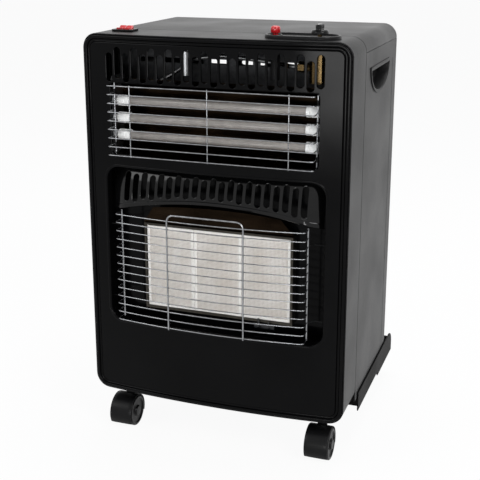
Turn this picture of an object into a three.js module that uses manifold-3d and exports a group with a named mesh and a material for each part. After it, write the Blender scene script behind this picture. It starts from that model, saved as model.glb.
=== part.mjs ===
// A portable cabinet heater on casters: a slotted, bowed steel front with an electric element
// bay above and a ceramic gas burner below, a sheet steel cabinet behind them, and a tray that
// carries the gas cylinder under a lift-off rear cover.
//
// Millimetres, +Z up, front towards -Y. Pieces are drawn in the cabinet's own frame, where
// X = 0 is the middle, Y = 0 is the front corner edge and Z = 0 is the floor.

import * as THREE from 'three';
import { mergeVertices } from 'three/addons/utils/BufferGeometryUtils.js';
import Module from 'manifold-3d';

const wasm = await Module();
wasm.setup();

// Cabinet
const WIDTH = 420;
const TOP_Z = 657;
const FRONT_BOTTOM_Z = 75;
const FRAME_DEPTH = 80;
const CABINET_DEPTH = 314;
const CORNER_R = 23;
const BOW = 13;
const BOW_FACETS = 8;
const FACET_WIDTH = WIDTH / BOW_FACETS;
const SHEET = 2;
const SEAT = 0.3;
const SEAM = 0.6;
const SIDE_TOP_Z = TOP_Z - CORNER_R;
const HALF = WIDTH / 2;

// Front panel
const PANEL_THICK = 3.5;
const RIM_WIDTH = 5.5;
const GROOVE_WIDTH = 5;
const SLOT_COUNT = 24;
const SLOT_PITCH = 14.3;
const SLOT_WIDTH = 10.6;
const SLOT_LENGTH = 47;
const LOW_SLOT_LENGTH = 43;
const SLOT_Z = 611;
const SLOT_STAGGER = 7;
const WINDOW = { halfWidth: 164, low: 474, high: 584, corner: 6 };
const RECESS = { halfWidth: 179, low: 197, high: 457, corner: 25 };
const LIP_IN = 4.2;

// Electric element bay
const TUBE_COUNT = 3;
const TUBE_PITCH = 26.5;
const TUBE_Z = 528;
const TUBE_Y = 15;
const TUBE_R = 6.3;
const TUBE_HALF = 140;
const CAP_R = 8.5;
const CAP_LENGTH = 20;
const BRACKET_X = 167;

// Gas burner
const PLAQUE_COUNT = 3;
const PLAQUE_WIDTH = 79;
const PLAQUE_HEIGHT = 134;
const PLAQUE_THICK = 13;
const PLAQUE_LOW_Z = 224;
const BURNER_Y = 16;
const HOOD_SLOTS = 21;
const HOOD_SLOT_WIDTH = 9.4;
const HOOD_HALF = 171;
const HOOD_EDGE_Z = 405;
const HOOD_ARCH = 23;
const HOOD_LEAN = 18;
const HOOD_CURL = 13;
const HOOD_CURL_START = 0.82;
const PILOT = { x0: 60, x1: 92, y: 22, below: 14 };
const CHAMBER_BACK_Y = 34;
const CHAMBER_WALL = 1.5;

// Guards
const WIRE_R = 1.1;
const HOOP_R = 1.5;
const UPPER_WIRES = 9;
const LOWER_WIRES = 14;
const UPPER_GUARD_Y = -24;
const LOWER_GUARD_Y = -26;
const GUARD_BOW = 12;
const WIRE_TAPER = 2;
const UPPER_RAIL_Y = 1;
const LOWER_RAIL_Y = -5.2;

// Cylinder tray and rear cover
const TRAY_DEPTH = 375;
const TRAY_FRONT_Y = 97;
const TRAY_FLOOR_Z = 60;
const TRAY_TOP_Z = 84;
const TRAY_FOOT_Z = 52;
const TRAY_REAR_FOOT_Z = 44;
const COVER_Y = 372;
const SHIELD_Y = 84;
const RING = { y: 232, outerR: 112, innerR: 108, rise: 3 };

// Casters
const CASTER_X = 168;
const CASTER_FRONT_Y = 40;
const CASTER_REAR_Y = 330;
const CASTER_OFFSET = 15;
const HOOD_WIDTH = 38;
const WHEEL_R = 25;
const WEB_HALF = 2.6;
const BOSS_TOP_Z = 56;

// Controls on the top edge
const KNOB = { x: 152, y: 32 };
const IGNITER = { x: 86, y: 32 };
const SWITCH = { x: -160, y: 44 };
const TILT_SWITCH = { x: -58, y: 40, z: 594 };
const INLET_Z = 604;
const BEZEL_TOP = TOP_Z + 5;
const KNOB_Z = BEZEL_TOP + 1.6;
const VALVE_TOP_Z = KNOB_Z - 26;
const OUTLET_Z = VALVE_TOP_Z - 22;

// ---------- shaping tools ----------

function solidOf(geometry) {
  const bare = geometry.clone();
  bare.deleteAttribute('normal');
  bare.deleteAttribute('uv');
  const merged = mergeVertices(bare, 1e-4);
  const vertProperties = new Float32Array(merged.attributes.position.array);
  const triVerts = new Uint32Array(merged.index.array);
  return new wasm.Manifold(new wasm.Mesh({ numProp: 3, vertProperties, triVerts }));
}

function geometryOf(solid) {
  const mesh = solid.getMesh();
  const geometry = new THREE.BufferGeometry();
  geometry.setAttribute('position', new THREE.BufferAttribute(mesh.vertProperties, 3));
  geometry.setIndex(new THREE.BufferAttribute(mesh.triVerts, 1));
  geometry.computeVertexNormals();
  return geometry;
}

function join(...geometries) {
  return geometryOf(geometries.map(solidOf).reduce((sum, next) => sum.add(next)));
}

function cut(body, ...tools) {
  return geometryOf(tools.map(solidOf).reduce((rest, tool) => rest.subtract(tool), solidOf(body)));
}

function common(a, b) {
  return geometryOf(solidOf(a).intersect(solidOf(b)));
}

// A shape drawn in X and Z, pushed along Y from y0 to y1.
function alongY(shape, y0, y1, curveSegments = 2) {
  const geometry = new THREE.ExtrudeGeometry(shape, { depth: y1 - y0, bevelEnabled: false, curveSegments });
  return geometry.rotateX(Math.PI / 2).translate(0, y1, 0);
}

// A shape drawn in X and Y, pushed up from z0 to z1.
function alongZ(shape, z0, z1, curveSegments = 3) {
  const geometry = new THREE.ExtrudeGeometry(shape, { depth: z1 - z0, bevelEnabled: false, curveSegments });
  return geometry.translate(0, 0, z0);
}

// A shape drawn in Y and Z, pushed along X from x0 to x1.
function alongX(shape, x0, x1, curveSegments = 3) {
  const geometry = new THREE.ExtrudeGeometry(shape, { depth: x1 - x0, bevelEnabled: false, curveSegments });
  const turn = new THREE.Matrix4().set(0, 0, 1, x0, 1, 0, 0, 0, 0, 1, 0, 0, 0, 0, 0, 1);
  return geometry.applyMatrix4(turn);
}

function box(x0, x1, y0, y1, z0, z1) {
  const geometry = new THREE.BoxGeometry(x1 - x0, y1 - y0, z1 - z0);
  return geometry.translate((x0 + x1) / 2, (y0 + y1) / 2, (z0 + z1) / 2);
}

function roundBar(radius, x0, x1, y, z, sides = 14) {
  const geometry = new THREE.CylinderGeometry(radius, radius, x1 - x0, sides);
  return geometry.rotateZ(Math.PI / 2).translate((x0 + x1) / 2, y, z);
}

function roundPost(radius, z0, z1, x, y, sides = 14) {
  const geometry = new THREE.CylinderGeometry(radius, radius, z1 - z0, sides);
  return geometry.rotateX(Math.PI / 2).translate(x, y, (z0 + z1) / 2);
}

// A turned piece: radius and height pairs from the axis up and back to the axis.
function turned(profile, sides = 16) {
  const points = profile.map(([radius, height]) => new THREE.Vector2(radius, height));
  return new THREE.LatheGeometry(points, sides).rotateX(Math.PI / 2);
}

function roundedRect(x0, x1, z0, z1, radius) {
  const shape = new THREE.Shape();
  shape.moveTo(x0 + radius, z0);
  shape.lineTo(x1 - radius, z0);
  shape.absarc(x1 - radius, z0 + radius, radius, -Math.PI / 2, 0);
  shape.lineTo(x1, z1 - radius);
  shape.absarc(x1 - radius, z1 - radius, radius, 0, Math.PI / 2);
  shape.lineTo(x0 + radius, z1);
  shape.absarc(x0 + radius, z1 - radius, radius, Math.PI / 2, Math.PI);
  shape.lineTo(x0, z0 + radius);
  shape.absarc(x0 + radius, z0 + radius, radius, Math.PI, 1.5 * Math.PI);
  return shape;
}

function frontOutline(inset) {
  const radius = CORNER_R - inset;
  return roundedRect(-HALF + inset, HALF - inset, FRONT_BOTTOM_Z + inset, TOP_Z - inset, radius);
}

function polygon(points) {
  return new THREE.Shape(points.map(([u, v]) => new THREE.Vector2(u, v)));
}

// A path that is stepped point by point, so that tight bends get short steps.
class StepPath extends THREE.Curve {
  constructor(points) {
    super();
    this.points = points;
  }

  getPoint(t, target = new THREE.Vector3()) {
    const at = t * (this.points.length - 1);
    const i = Math.min(Math.floor(at), this.points.length - 2);
    return target.lerpVectors(this.points[i], this.points[i + 1], at - i);
  }

  getPointAt(u, target) {
    return this.getPoint(u, target);
  }

  getTangentAt(u, target = new THREE.Vector3()) {
    const i = Math.round(u * (this.points.length - 1));
    const before = this.points[Math.max(i - 1, 0)];
    const after = this.points[Math.min(i + 1, this.points.length - 1)];
    return target.subVectors(after, before).normalize();
  }

  getTangent(t, target) {
    return this.getTangentAt(t, target);
  }
}

// A round wire or pipe through the points given.
function wire(points, radius, sides = 5) {
  const section = new THREE.Shape();
  for (let i = 0; i < sides; i++) {
    const angle = (2 * Math.PI * i) / sides;
    const x = radius * Math.cos(angle);
    const y = radius * Math.sin(angle);
    if (i === 0) section.moveTo(x, y);
    else section.lineTo(x, y);
  }
  const extrudePath = new StepPath(points);
  return new THREE.ExtrudeGeometry(section, { steps: points.length - 1, extrudePath });
}

// The points of a route with each inner corner rounded to a bend.
function bent(corners, radius, steps = 3) {
  const route = corners.map((corner) => new THREE.Vector3(...corner));
  const points = [route[0]];
  for (let i = 1; i < route.length - 1; i++) {
    const back = route[i - 1].clone().sub(route[i]).normalize();
    const ahead = route[i + 1].clone().sub(route[i]).normalize();
    const reach = radius / Math.tan(back.angleTo(ahead) / 2);
    const start = route[i].clone().addScaledVector(back, reach);
    const end = route[i].clone().addScaledVector(ahead, reach);
    const bend = new THREE.QuadraticBezierCurve3(start, route[i], end);
    points.push(...bend.getPoints(steps));
  }
  points.push(route.at(-1));
  return points;
}

// ---------- the bowed front ----------

// The bow is made of flat facets, so that every piece of the front follows it alike.
function bowAt(x) {
  const at = Math.min(Math.abs(x), HALF) / FACET_WIDTH;
  const below = Math.min(Math.floor(at), BOW_FACETS / 2 - 1);
  const curve = (stop) => -BOW * (1 - ((2 * stop) / BOW_FACETS) ** 2);
  return curve(below) + (curve(below + 1) - curve(below)) * (at - below);
}

// Everything between two surfaces that follow the bow, over the whole height of the front.
function bowedSlab(front, back, flatBack = null) {
  const shape = new THREE.Shape();
  const edge = HALF + 2;
  shape.moveTo(-edge, front);
  for (let i = 0; i <= BOW_FACETS; i++) {
    const x = -HALF + FACET_WIDTH * i;
    shape.lineTo(x, bowAt(x) + front);
  }
  shape.lineTo(edge, front);
  if (flatBack !== null) {
    shape.lineTo(edge, flatBack);
    shape.lineTo(-edge, flatBack);
    return alongZ(shape, FRONT_BOTTOM_Z - 10, TOP_Z + 10);
  }
  shape.lineTo(edge, back);
  for (let i = BOW_FACETS; i >= 0; i--) {
    const x = -HALF + FACET_WIDTH * i;
    shape.lineTo(x, bowAt(x) + back);
  }
  shape.lineTo(-edge, back);
  return alongZ(shape, FRONT_BOTTOM_Z - 10, TOP_Z + 10);
}

// The points round a rounded rectangle, grown outwards, with a stop at each facet of the bow.
function loopPoints(frame, grow, cornerSteps = 3) {
  const radius = Math.max(frame.corner + grow, 0.5);
  const right = frame.halfWidth + grow - radius;
  const up = frame.high + grow - radius;
  const down = frame.low - grow + radius;
  const centres = [[right, up], [-right, up], [-right, down], [right, down]];
  const points = [];
  centres.forEach(([cx, cz], corner) => {
    for (let i = 0; i <= cornerSteps; i++) {
      const angle = (Math.PI / 2) * (corner + i / cornerSteps);
      points.push([cx + radius * Math.cos(angle), cz + radius * Math.sin(angle)]);
    }
    if (corner % 2 === 0) {
      const towards = corner === 0 ? -1 : 1;
      const z = corner === 0 ? frame.high + grow : frame.low - grow;
      const stops = Math.floor((frame.halfWidth - frame.corner) / FACET_WIDTH);
      for (let i = -stops; i <= stops; i++) {
        points.push([towards * i * FACET_WIDTH, z]);
      }
    }
  });
  return points;
}

// A closed ring that follows the bow. Each section point is [outward growth, depth from the bow],
// and the section runs from the back of its outer side, over the front, to the inner side.
function bowedRing(frame, section) {
  const loops = section.map(([grow, depth]) => {
    return loopPoints(frame, grow).map(([x, z]) => [x, bowAt(x) + depth, z]);
  });
  const count = loops[0].length;
  const rows = section.length;
  const index = [];
  for (let row = 0; row < rows; row++) {
    const next = (row + 1) % rows;
    for (let i = 0; i < count; i++) {
      const j = (i + 1) % count;
      const a = row * count + i;
      const b = row * count + j;
      const c = next * count + j;
      const d = next * count + i;
      index.push(a, b, c, a, c, d);
    }
  }
  const geometry = new THREE.BufferGeometry();
  geometry.setAttribute('position', new THREE.Float32BufferAttribute(loops.flat(2), 3));
  geometry.setIndex(index);
  return geometry;
}

const frontFrameLoop = { halfWidth: HALF, low: FRONT_BOTTOM_Z, high: TOP_Z, corner: CORNER_R };

// An upright slot with arched ends, drawn in X and Z.
function uprightSlot(x, z, width, length) {
  const half = width / 2;
  const end = length / 2;
  const side = end - half;
  return polygon([
    [x - half, z - side], [x, z - end], [x + half, z - side], [x + half, z + side], [x, z + end], [x - half, z + side],
  ]);
}

function frontPanel() {
  const inset = SHEET + SEAT;
  let panel = common(bowedSlab(0, PANEL_THICK), alongY(frontOutline(inset), -30, 30));
  const rimIn = -inset - RIM_WIDTH;
  const rim = bowedRing(frontFrameLoop, [
    [-inset, 1.5], [-inset - 0.9, -1.6], [rimIn + 1, -1.6], [rimIn - 0.3, 1.5],
  ]);
  const grooveIn = rimIn - GROOVE_WIDTH;
  const groove = bowedRing(frontFrameLoop, [
    [rimIn - 0.8, 2.4], [rimIn - 0.3, -1], [grooveIn, -1], [grooveIn + 0.5, 2.4],
  ]);
  panel = join(cut(panel, groove), rim);
  panel = cut(panel, ...slotCutters(), windowCutter(), recessCutter());
  return join(panel, recessLip());
}

function slotCutters() {
  const cutters = [];
  for (let i = 0; i < SLOT_COUNT; i++) {
    const x = (i - (SLOT_COUNT - 1) / 2) * SLOT_PITCH;
    const high = i % 2 === 1;
    const z = SLOT_Z + (high ? SLOT_STAGGER / 2 : -SLOT_STAGGER / 2);
    const length = high ? SLOT_LENGTH : LOW_SLOT_LENGTH;
    cutters.push(alongY(uprightSlot(x, z, SLOT_WIDTH, length), -30, 20));
  }
  return cutters;
}

function windowCutter() {
  const w = WINDOW;
  return alongY(roundedRect(-w.halfWidth, w.halfWidth, w.low, w.high, w.corner), -30, 20);
}

function recessCutter() {
  const r = RECESS;
  return alongY(roundedRect(-r.halfWidth, r.halfWidth, r.low, r.high, r.corner), -30, 20);
}

// The rolled edge that turns the front's sheet back into the burner recess.
function recessLip() {
  return bowedRing(RECESS, [
    [-2.4, 14], [-1.2, 4.6], [3, 1], [0, -0.8], [-2.8, 1], [-LIP_IN, 5], [-LIP_IN, 14],
  ]);
}

function frontFrame() {
  const outer = common(bowedSlab(0, 0, FRAME_DEPTH), alongY(frontOutline(0), -30, FRAME_DEPTH + 9));
  const inner = common(bowedSlab(-10, 0, FRAME_DEPTH + 5), alongY(frontOutline(SHEET), -40, FRAME_DEPTH + 9));
  let frame = cut(outer, inner);
  const flangeFront = PANEL_THICK + SEAT;
  const flange = bowedRing(frontFrameLoop, [
    [-1, flangeFront + SHEET], [-1, flangeFront], [-16, flangeFront], [-16, flangeFront + SHEET],
  ]);
  frame = join(frame, flange);
  const controls = [
    roundPost(8.4, TOP_Z - 10, TOP_Z + 5, KNOB.x, KNOB.y, 12),
    roundPost(8.4, TOP_Z - 10, TOP_Z + 5, IGNITER.x, IGNITER.y, 12),
    box(SWITCH.x - 14, SWITCH.x + 14, SWITCH.y - 11, SWITCH.y + 11, TOP_Z - 10, TOP_Z + 5),
  ];
  const stems = [-CASTER_X, CASTER_X].map((x) => {
    return roundPost(5.8, FRONT_BOTTOM_Z - 5, FRONT_BOTTOM_Z + 10, x, CASTER_FRONT_Y, 10);
  });
  return cut(frame, ...controls, ...stems);
}

// ---------- cabinet ----------

const HANDLE = { y: 184, z: 604, halfWidth: 68, drop: 39, depth: 22 };

// The half moon of the hand grip, flat edge up, drawn in Y and Z.
function handleOutline(grow) {
  const { y, z, halfWidth, drop } = HANDLE;
  const shape = new THREE.Shape();
  shape.absellipse(y, z + grow, halfWidth + grow, drop + 2 * grow, Math.PI, 2 * Math.PI);
  return shape;
}

// Pieces of the right side; the left side mirrors them.
function sidePanel() {
  const y0 = FRAME_DEPTH + SEAM;
  const inner = HALF - SHEET;
  const sheet = box(inner, HALF, y0, CABINET_DEPTH, FRONT_BOTTOM_Z + 1, SIDE_TOP_Z - SEAM);
  const frontFlange = box(HALF - 16, HALF - 1, y0, y0 + SHEET, FRONT_BOTTOM_Z + 26, SIDE_TOP_Z - 4);
  const rearFlange = box(HALF - 18, HALF - 1, CABINET_DEPTH - SHEET, CABINET_DEPTH, TRAY_TOP_Z + 8, SIDE_TOP_Z - 4);
  const troughOut = alongX(swageOutline(8), HALF - 6.5, HALF - 0.5);
  const troughIn = alongX(swageOutline(4.8), HALF - 4.5, HALF + 2);
  const body = join(sheet, frontFlange, rearFlange, troughOut);
  return cut(body, troughIn, alongX(handleOutline(0), inner - 2, HALF + 2, 6));
}

// The long stiffening groove near the rear edge of the side.
function swageOutline(radius) {
  const y = 280;
  const shape = new THREE.Shape();
  shape.absarc(y, SIDE_TOP_Z - 34, radius, 0, Math.PI);
  shape.absarc(y, TRAY_TOP_Z + 10, radius, Math.PI, 2 * Math.PI);
  return shape;
}

function handleCup() {
  const flange = alongX(handleOutline(4), HALF + SEAT, HALF + 1.6, 6);
  const wall = alongX(handleOutline(-SEAT), HALF - HANDLE.depth, HALF + 1, 6);
  const hollow = alongX(handleOutline(-SEAT - 2), HALF - HANDLE.depth + 2, HALF + 5, 6);
  return cut(join(flange, wall), hollow);
}

function mirrored(geometry) {
  const turnedOver = geometry.clone().scale(-1, 1, 1);
  const index = turnedOver.index.array;
  for (let i = 0; i < index.length; i += 3) {
    [index[i], index[i + 1]] = [index[i + 1], index[i]];
  }
  return turnedOver;
}

// The arch of the top sheet, drawn in X and Z.
function archOutline(inset, low) {
  const half = HALF - inset;
  const radius = CORNER_R - inset;
  const top = TOP_Z - inset;
  const shape = new THREE.Shape();
  shape.moveTo(half, low);
  shape.lineTo(half, top - radius);
  shape.absarc(half - radius, top - radius, radius, 0, Math.PI / 2);
  shape.absarc(-half + radius, top - radius, radius, Math.PI / 2, Math.PI);
  shape.lineTo(-half, low);
  return shape;
}

function topCover() {
  const y0 = FRAME_DEPTH + SEAM;
  const skin = alongY(archOutline(0, SIDE_TOP_Z), y0, CABINET_DEPTH, 4);
  const inside = alongY(archOutline(SHEET, SIDE_TOP_Z - 5), y0 - 5, CABINET_DEPTH + 5, 4);
  const shell = cut(skin, inside);
  const low = TOP_Z - 20;
  const rearFlange = common(
    alongY(archOutline(0.5, SIDE_TOP_Z), CABINET_DEPTH - SHEET, CABINET_DEPTH, 4),
    box(-HALF + 22, HALF - 22, 300, 320, low, TOP_Z),
  );
  return join(shell, rearFlange);
}

function heatShield() {
  const half = HALF - SHEET - SEAT;
  const low = TRAY_TOP_Z + 6;
  const high = SIDE_TOP_Z - 6;
  const plate = box(-half, half, SHIELD_Y, SHIELD_Y + 1.5, low, high);
  const flanges = [-1, 1].map((side) => {
    const x = side * (half - 0.75);
    return box(x - 0.75, x + 0.75, SHIELD_Y, SHIELD_Y + 14, low, high);
  });
  const vents = [];
  for (let i = 0; i < 7; i++) {
    const x = (i - 3.5) * 40;
    vents.push(box(x - 14, x + 14, SHIELD_Y - 5, SHIELD_Y + 5, high - 22, high - 14));
  }
  const inletHole = alongY(circle(KNOB.x, INLET_Z, 7.5), SHIELD_Y - 5, SHIELD_Y + 5, 5);
  return cut(join(plate, ...flanges), ...vents, inletHole);
}

function circle(u, v, radius) {
  const shape = new THREE.Shape();
  shape.absarc(u, v, radius, 0, 2 * Math.PI);
  return shape;
}

// The side wall of the tray, drawn in Y and Z, with its stepped foot and rounded rear corner.
function traySide() {
  const shape = new THREE.Shape();
  const rearR = 24;
  shape.moveTo(TRAY_FRONT_Y, TRAY_FOOT_Z);
  shape.lineTo(250, TRAY_FOOT_Z);
  shape.lineTo(254, TRAY_REAR_FOOT_Z);
  shape.lineTo(TRAY_DEPTH, TRAY_REAR_FOOT_Z);
  shape.lineTo(TRAY_DEPTH, TRAY_TOP_Z - rearR);
  shape.absarc(TRAY_DEPTH - rearR, TRAY_TOP_Z - rearR, rearR, 0, Math.PI / 2);
  shape.lineTo(TRAY_FRONT_Y, TRAY_TOP_Z);
  return shape;
}

function baseTray() {
  const outer = HALF + SEAT + SHEET;
  const walls = [-outer, outer - SHEET].map((x) => alongX(traySide(), x, x + SHEET));
  const floor = box(-outer + 1, outer - 1, TRAY_FRONT_Y, TRAY_DEPTH, TRAY_FLOOR_Z, TRAY_FLOOR_Z + SHEET);
  const frontWall = box(-outer + 1, outer - 1, TRAY_FRONT_Y, TRAY_FRONT_Y + SHEET, TRAY_FLOOR_Z, TRAY_FLOOR_Z + 14);
  const rearLip = box(-outer + 1, outer - 1, TRAY_DEPTH - SHEET, TRAY_DEPTH, TRAY_REAR_FOOT_Z + 2, TRAY_FLOOR_Z + 10);
  const ring = cut(
    roundPost(RING.outerR, TRAY_FLOOR_Z + 1, TRAY_FLOOR_Z + SHEET + RING.rise, 0, RING.y, 20),
    roundPost(RING.innerR, TRAY_FLOOR_Z + 2.5, TRAY_FLOOR_Z + 8, 0, RING.y, 20),
  );
  const stems = [-CASTER_X, CASTER_X].map((x) => {
    return roundPost(5.8, TRAY_FLOOR_Z - 5, TRAY_FLOOR_Z + 8, x, CASTER_REAR_Y, 10);
  });
  return cut(join(...walls, floor, frontWall, rearLip, ring), ...stems);
}

function rearCover() {
  const halfOut = 194;
  const low = TRAY_FLOOR_Z + SHEET + SEAT;
  const high = TOP_Z - 24;
  const front = CABINET_DEPTH + SEAT;
  const shell = alongY(roundedRect(-halfOut, halfOut, low, high, 22), front, COVER_Y - 8);
  const crown = alongY(roundedRect(-halfOut + 5, halfOut - 5, low + 5, high - 5, 18), front, COVER_Y);
  const hollow = alongY(roundedRect(-halfOut + 2, halfOut - 2, low - 5, high - 2, 20), front - 5, COVER_Y - 10);
  const crownHollow = alongY(roundedRect(-halfOut + 7, halfOut - 7, low - 5, high - 7, 16), front - 5, COVER_Y - 2);
  const rimOut = alongY(roundedRect(-halfOut - 8, halfOut + 8, TRAY_TOP_Z + 10, high + 8, 22), front, front + SHEET);
  const rimIn = alongY(roundedRect(-halfOut + 1, halfOut - 1, low - 20, high - 1, 20), front - 5, front + 8);
  const vents = [];
  for (const z of [high - 60, high - 84, 150, 126]) {
    for (let i = 0; i < 5; i++) {
      const x = (i - 2) * 62;
      vents.push(box(x - 23, x + 23, COVER_Y - 20, COVER_Y + 5, z - 4, z + 4));
    }
  }
  const pan = join(cut(join(shell, crown), hollow, crownHollow), cut(rimOut, rimIn));
  return cut(pan, ...vents);
}

// ---------- controls ----------

// A plate with round ends, drawn in X and Y.
function stadiumXY(x, y, width, depth) {
  const radius = depth / 2;
  const reach = width / 2 - radius;
  const shape = new THREE.Shape();
  shape.absarc(x + reach, y, radius, -Math.PI / 2, Math.PI / 2);
  shape.absarc(x - reach, y, radius, Math.PI / 2, 1.5 * Math.PI);
  return shape;
}

function controlBezel() {
  const x = (KNOB.x + IGNITER.x) / 2 + 8;
  const z0 = TOP_Z + SEAT;
  const plate = alongZ(stadiumXY(x, KNOB.y, 112, 54), z0, BEZEL_TOP, 4);
  const well = alongZ(stadiumXY(x, KNOB.y, 104, 46), BEZEL_TOP - 3, BEZEL_TOP + 5, 4);
  const holes = [
    roundPost(7.4, TOP_Z - 5, TOP_Z + 10, KNOB.x, KNOB.y, 10),
    roundPost(7.4, TOP_Z - 5, TOP_Z + 10, IGNITER.x, IGNITER.y, 10),
  ];
  return cut(plate, well, ...holes);
}

function gasKnob() {
  const skirt = turned([[0, 0], [12.5, 0], [12.5, 3.5], [11, 5.5], [8, 6.5], [0, 6.5]]);
  const grip = alongZ(roundedRect(-4, 4, -11.5, 11.5, 3.5), 5, 14.5, 1);
  const bore = roundPost(3.6, -1, 10.3, 0, 0, 10);
  return cut(join(skirt, grip), bore).translate(KNOB.x, KNOB.y, KNOB_Z);
}

function valveSpindle() {
  const shaft = turned([[0, -34], [5, -34], [5, -8], [3.2, -8], [3.2, 10], [0, 10]], 10);
  return shaft.translate(KNOB.x, KNOB.y, KNOB_Z);
}

function gasValve() {
  const top = VALVE_TOP_Z;
  const core = roundPost(14, top - 44, top, KNOB.x, KNOB.y, 12);
  const inletEnd = SHIELD_Y - 7 - 2 * SEAT;
  const inletStart = KNOB.y + 10;
  const inlet = new THREE.CylinderGeometry(6, 6, inletEnd - inletStart, 8);
  inlet.translate(KNOB.x, (inletStart + inletEnd) / 2, INLET_Z);
  const outlet = roundBar(6, KNOB.x - 30, KNOB.x - 8, KNOB.y, OUTLET_Z, 8);
  const nut = new THREE.CylinderGeometry(8.5, 8.5, 9, 6).rotateZ(Math.PI / 2);
  nut.translate(KNOB.x - 25.5, KNOB.y, OUTLET_Z);
  const pocket = roundPost(5.6, top - 14, top + 3, KNOB.x, KNOB.y, 10);
  return cut(join(core, inlet, outlet, nut), pocket);
}

function igniterButton() {
  const cap = turned([[0, -12], [4.2, -12], [4.2, 0], [7, 0], [7, 9], [5.8, 11.2], [0, 12.4]], 16);
  return cap.translate(IGNITER.x, IGNITER.y, BEZEL_TOP + 1.5);
}

function piezoIgniter() {
  const collar = roundPost(9.6, TOP_Z - 12, TOP_Z - SHEET - SEAT, IGNITER.x, IGNITER.y, 12);
  const barrel = roundPost(7, TOP_Z - 62, TOP_Z - 11, IGNITER.x, IGNITER.y, 10);
  const bore = roundPost(4.8, TOP_Z - 22, TOP_Z, IGNITER.x, IGNITER.y, 10);
  return cut(join(collar, barrel), bore);
}

function switchBezel() {
  const z0 = TOP_Z + SEAT;
  const s = SWITCH;
  const flange = alongZ(roundedRect(s.x - 17, s.x + 17, s.y - 14, s.y + 14, 3), z0, z0 + 3, 3);
  const body = box(s.x - 13.5, s.x + 13.5, s.y - 10.5, s.y + 10.5, TOP_Z - 24, z0 + 1);
  const pocket = box(s.x - 11.5, s.x + 11.5, s.y - 9, s.y + 9, TOP_Z - 12, z0 + 10);
  return cut(join(flange, body), pocket);
}

// A rocker, tipped so that its rear end stands up, with its pivot at the bezel's rim.
function rocker(x) {
  const shape = polygon([[-7.8, 3.5], [0, 1.6], [7.8, 5.8], [7.8, -1], [3, -7], [-3, -7], [-7.8, -3.5]]);
  const body = alongX(shape, -5.2, 5.2);
  return body.translate(x, SWITCH.y, TOP_Z + 2);
}

function tiltSwitch() {
  const { x, y, z } = TILT_SWITCH;
  const can = turned([[0, 0], [6.5, 0], [6.5, 36], [5, 38], [0, 38]], 16).translate(x, y, z);
  const tab = box(x - 2, x + 2, y - 1, y + 1, z + 36, TOP_Z - SHEET - SEAT);
  return join(can, tab);
}

// ---------- electric element bay ----------

function elementReflector() {
  const shape = polygon([
    [8, 590], [34, 583], [46, 570], [46, 486], [34, 473], [8, 466],
    [8, 467.5], [33, 474.3], [44.5, 486.6], [44.5, 569.4], [33, 581.7], [8, 588.5],
  ]);
  return alongX(shape, -BRACKET_X + SEAT, BRACKET_X - SEAT);
}

function elementBracket(side) {
  const x0 = side * BRACKET_X;
  const low = Math.min(x0, x0 + side * 1.5);
  const plate = alongX(roundedRect(7, 50, 464, 592, 4), low, low + 1.5, 1);
  const holes = [];
  for (let i = 0; i < TUBE_COUNT; i++) {
    holes.push(roundBar(4.9, low - 3, low + 5, TUBE_Y, tubeZ(i), 8));
  }
  return cut(plate, ...holes);
}

function tubeZ(i) {
  return TUBE_Z + (i - (TUBE_COUNT - 1) / 2) * TUBE_PITCH;
}

function quartzTube(i) {
  return roundBar(TUBE_R, -TUBE_HALF - 8, TUBE_HALF + 8, TUBE_Y, tubeZ(i), 12);
}

// A ceramic end cap that the tube plugs into, with a spigot through the bracket.
function tubeCap(i, side) {
  const start = TUBE_HALF;
  const profile = [
    [0, 8 + SEAT], [TUBE_R + 0.7, 8 + SEAT], [TUBE_R + 0.7, 0], [CAP_R, 0], [CAP_R, CAP_LENGTH],
    [4.2, CAP_LENGTH], [4.2, CAP_LENGTH + 13], [0, CAP_LENGTH + 13],
  ];
  const cap = new THREE.LatheGeometry(profile.map(([r, h]) => new THREE.Vector2(r, h)), 8);
  cap.rotateZ(-side * Math.PI / 2);
  return cap.translate(side * start, TUBE_Y, tubeZ(i));
}

// ---------- gas burner ----------

const BURNER_HALF = (PLAQUE_WIDTH * PLAQUE_COUNT) / 2 + SEAT;
const BURNER_LOW = PLAQUE_LOW_Z - SEAT;
const BURNER_HIGH = PLAQUE_LOW_Z + PLAQUE_HEIGHT + SEAT;
const BURNER_RIM = 3.5;
const MIXER = { y: 48, z: PLAQUE_LOW_Z + 66 };

function burnerChamber() {
  const half = RECESS.halfWidth + 4;
  const low = RECESS.low - 4;
  const high = RECESS.high + 4;
  const back = CHAMBER_BACK_Y;
  const wall = CHAMBER_WALL;
  const shell = common(
    bowedSlab(PANEL_THICK + SEAT, 0, back),
    box(-half, half, -30, back + 5, low, high),
  );
  const hollow = box(-half + wall, half - wall, -30, back - wall, low + wall, high - wall);
  const burnerHole = box(
    -BURNER_HALF - 1, BURNER_HALF + 1, back - 6, back + 6, BURNER_LOW - 1, BURNER_HIGH + 1,
  );
  return cut(shell, hollow, burnerHole);
}

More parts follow.
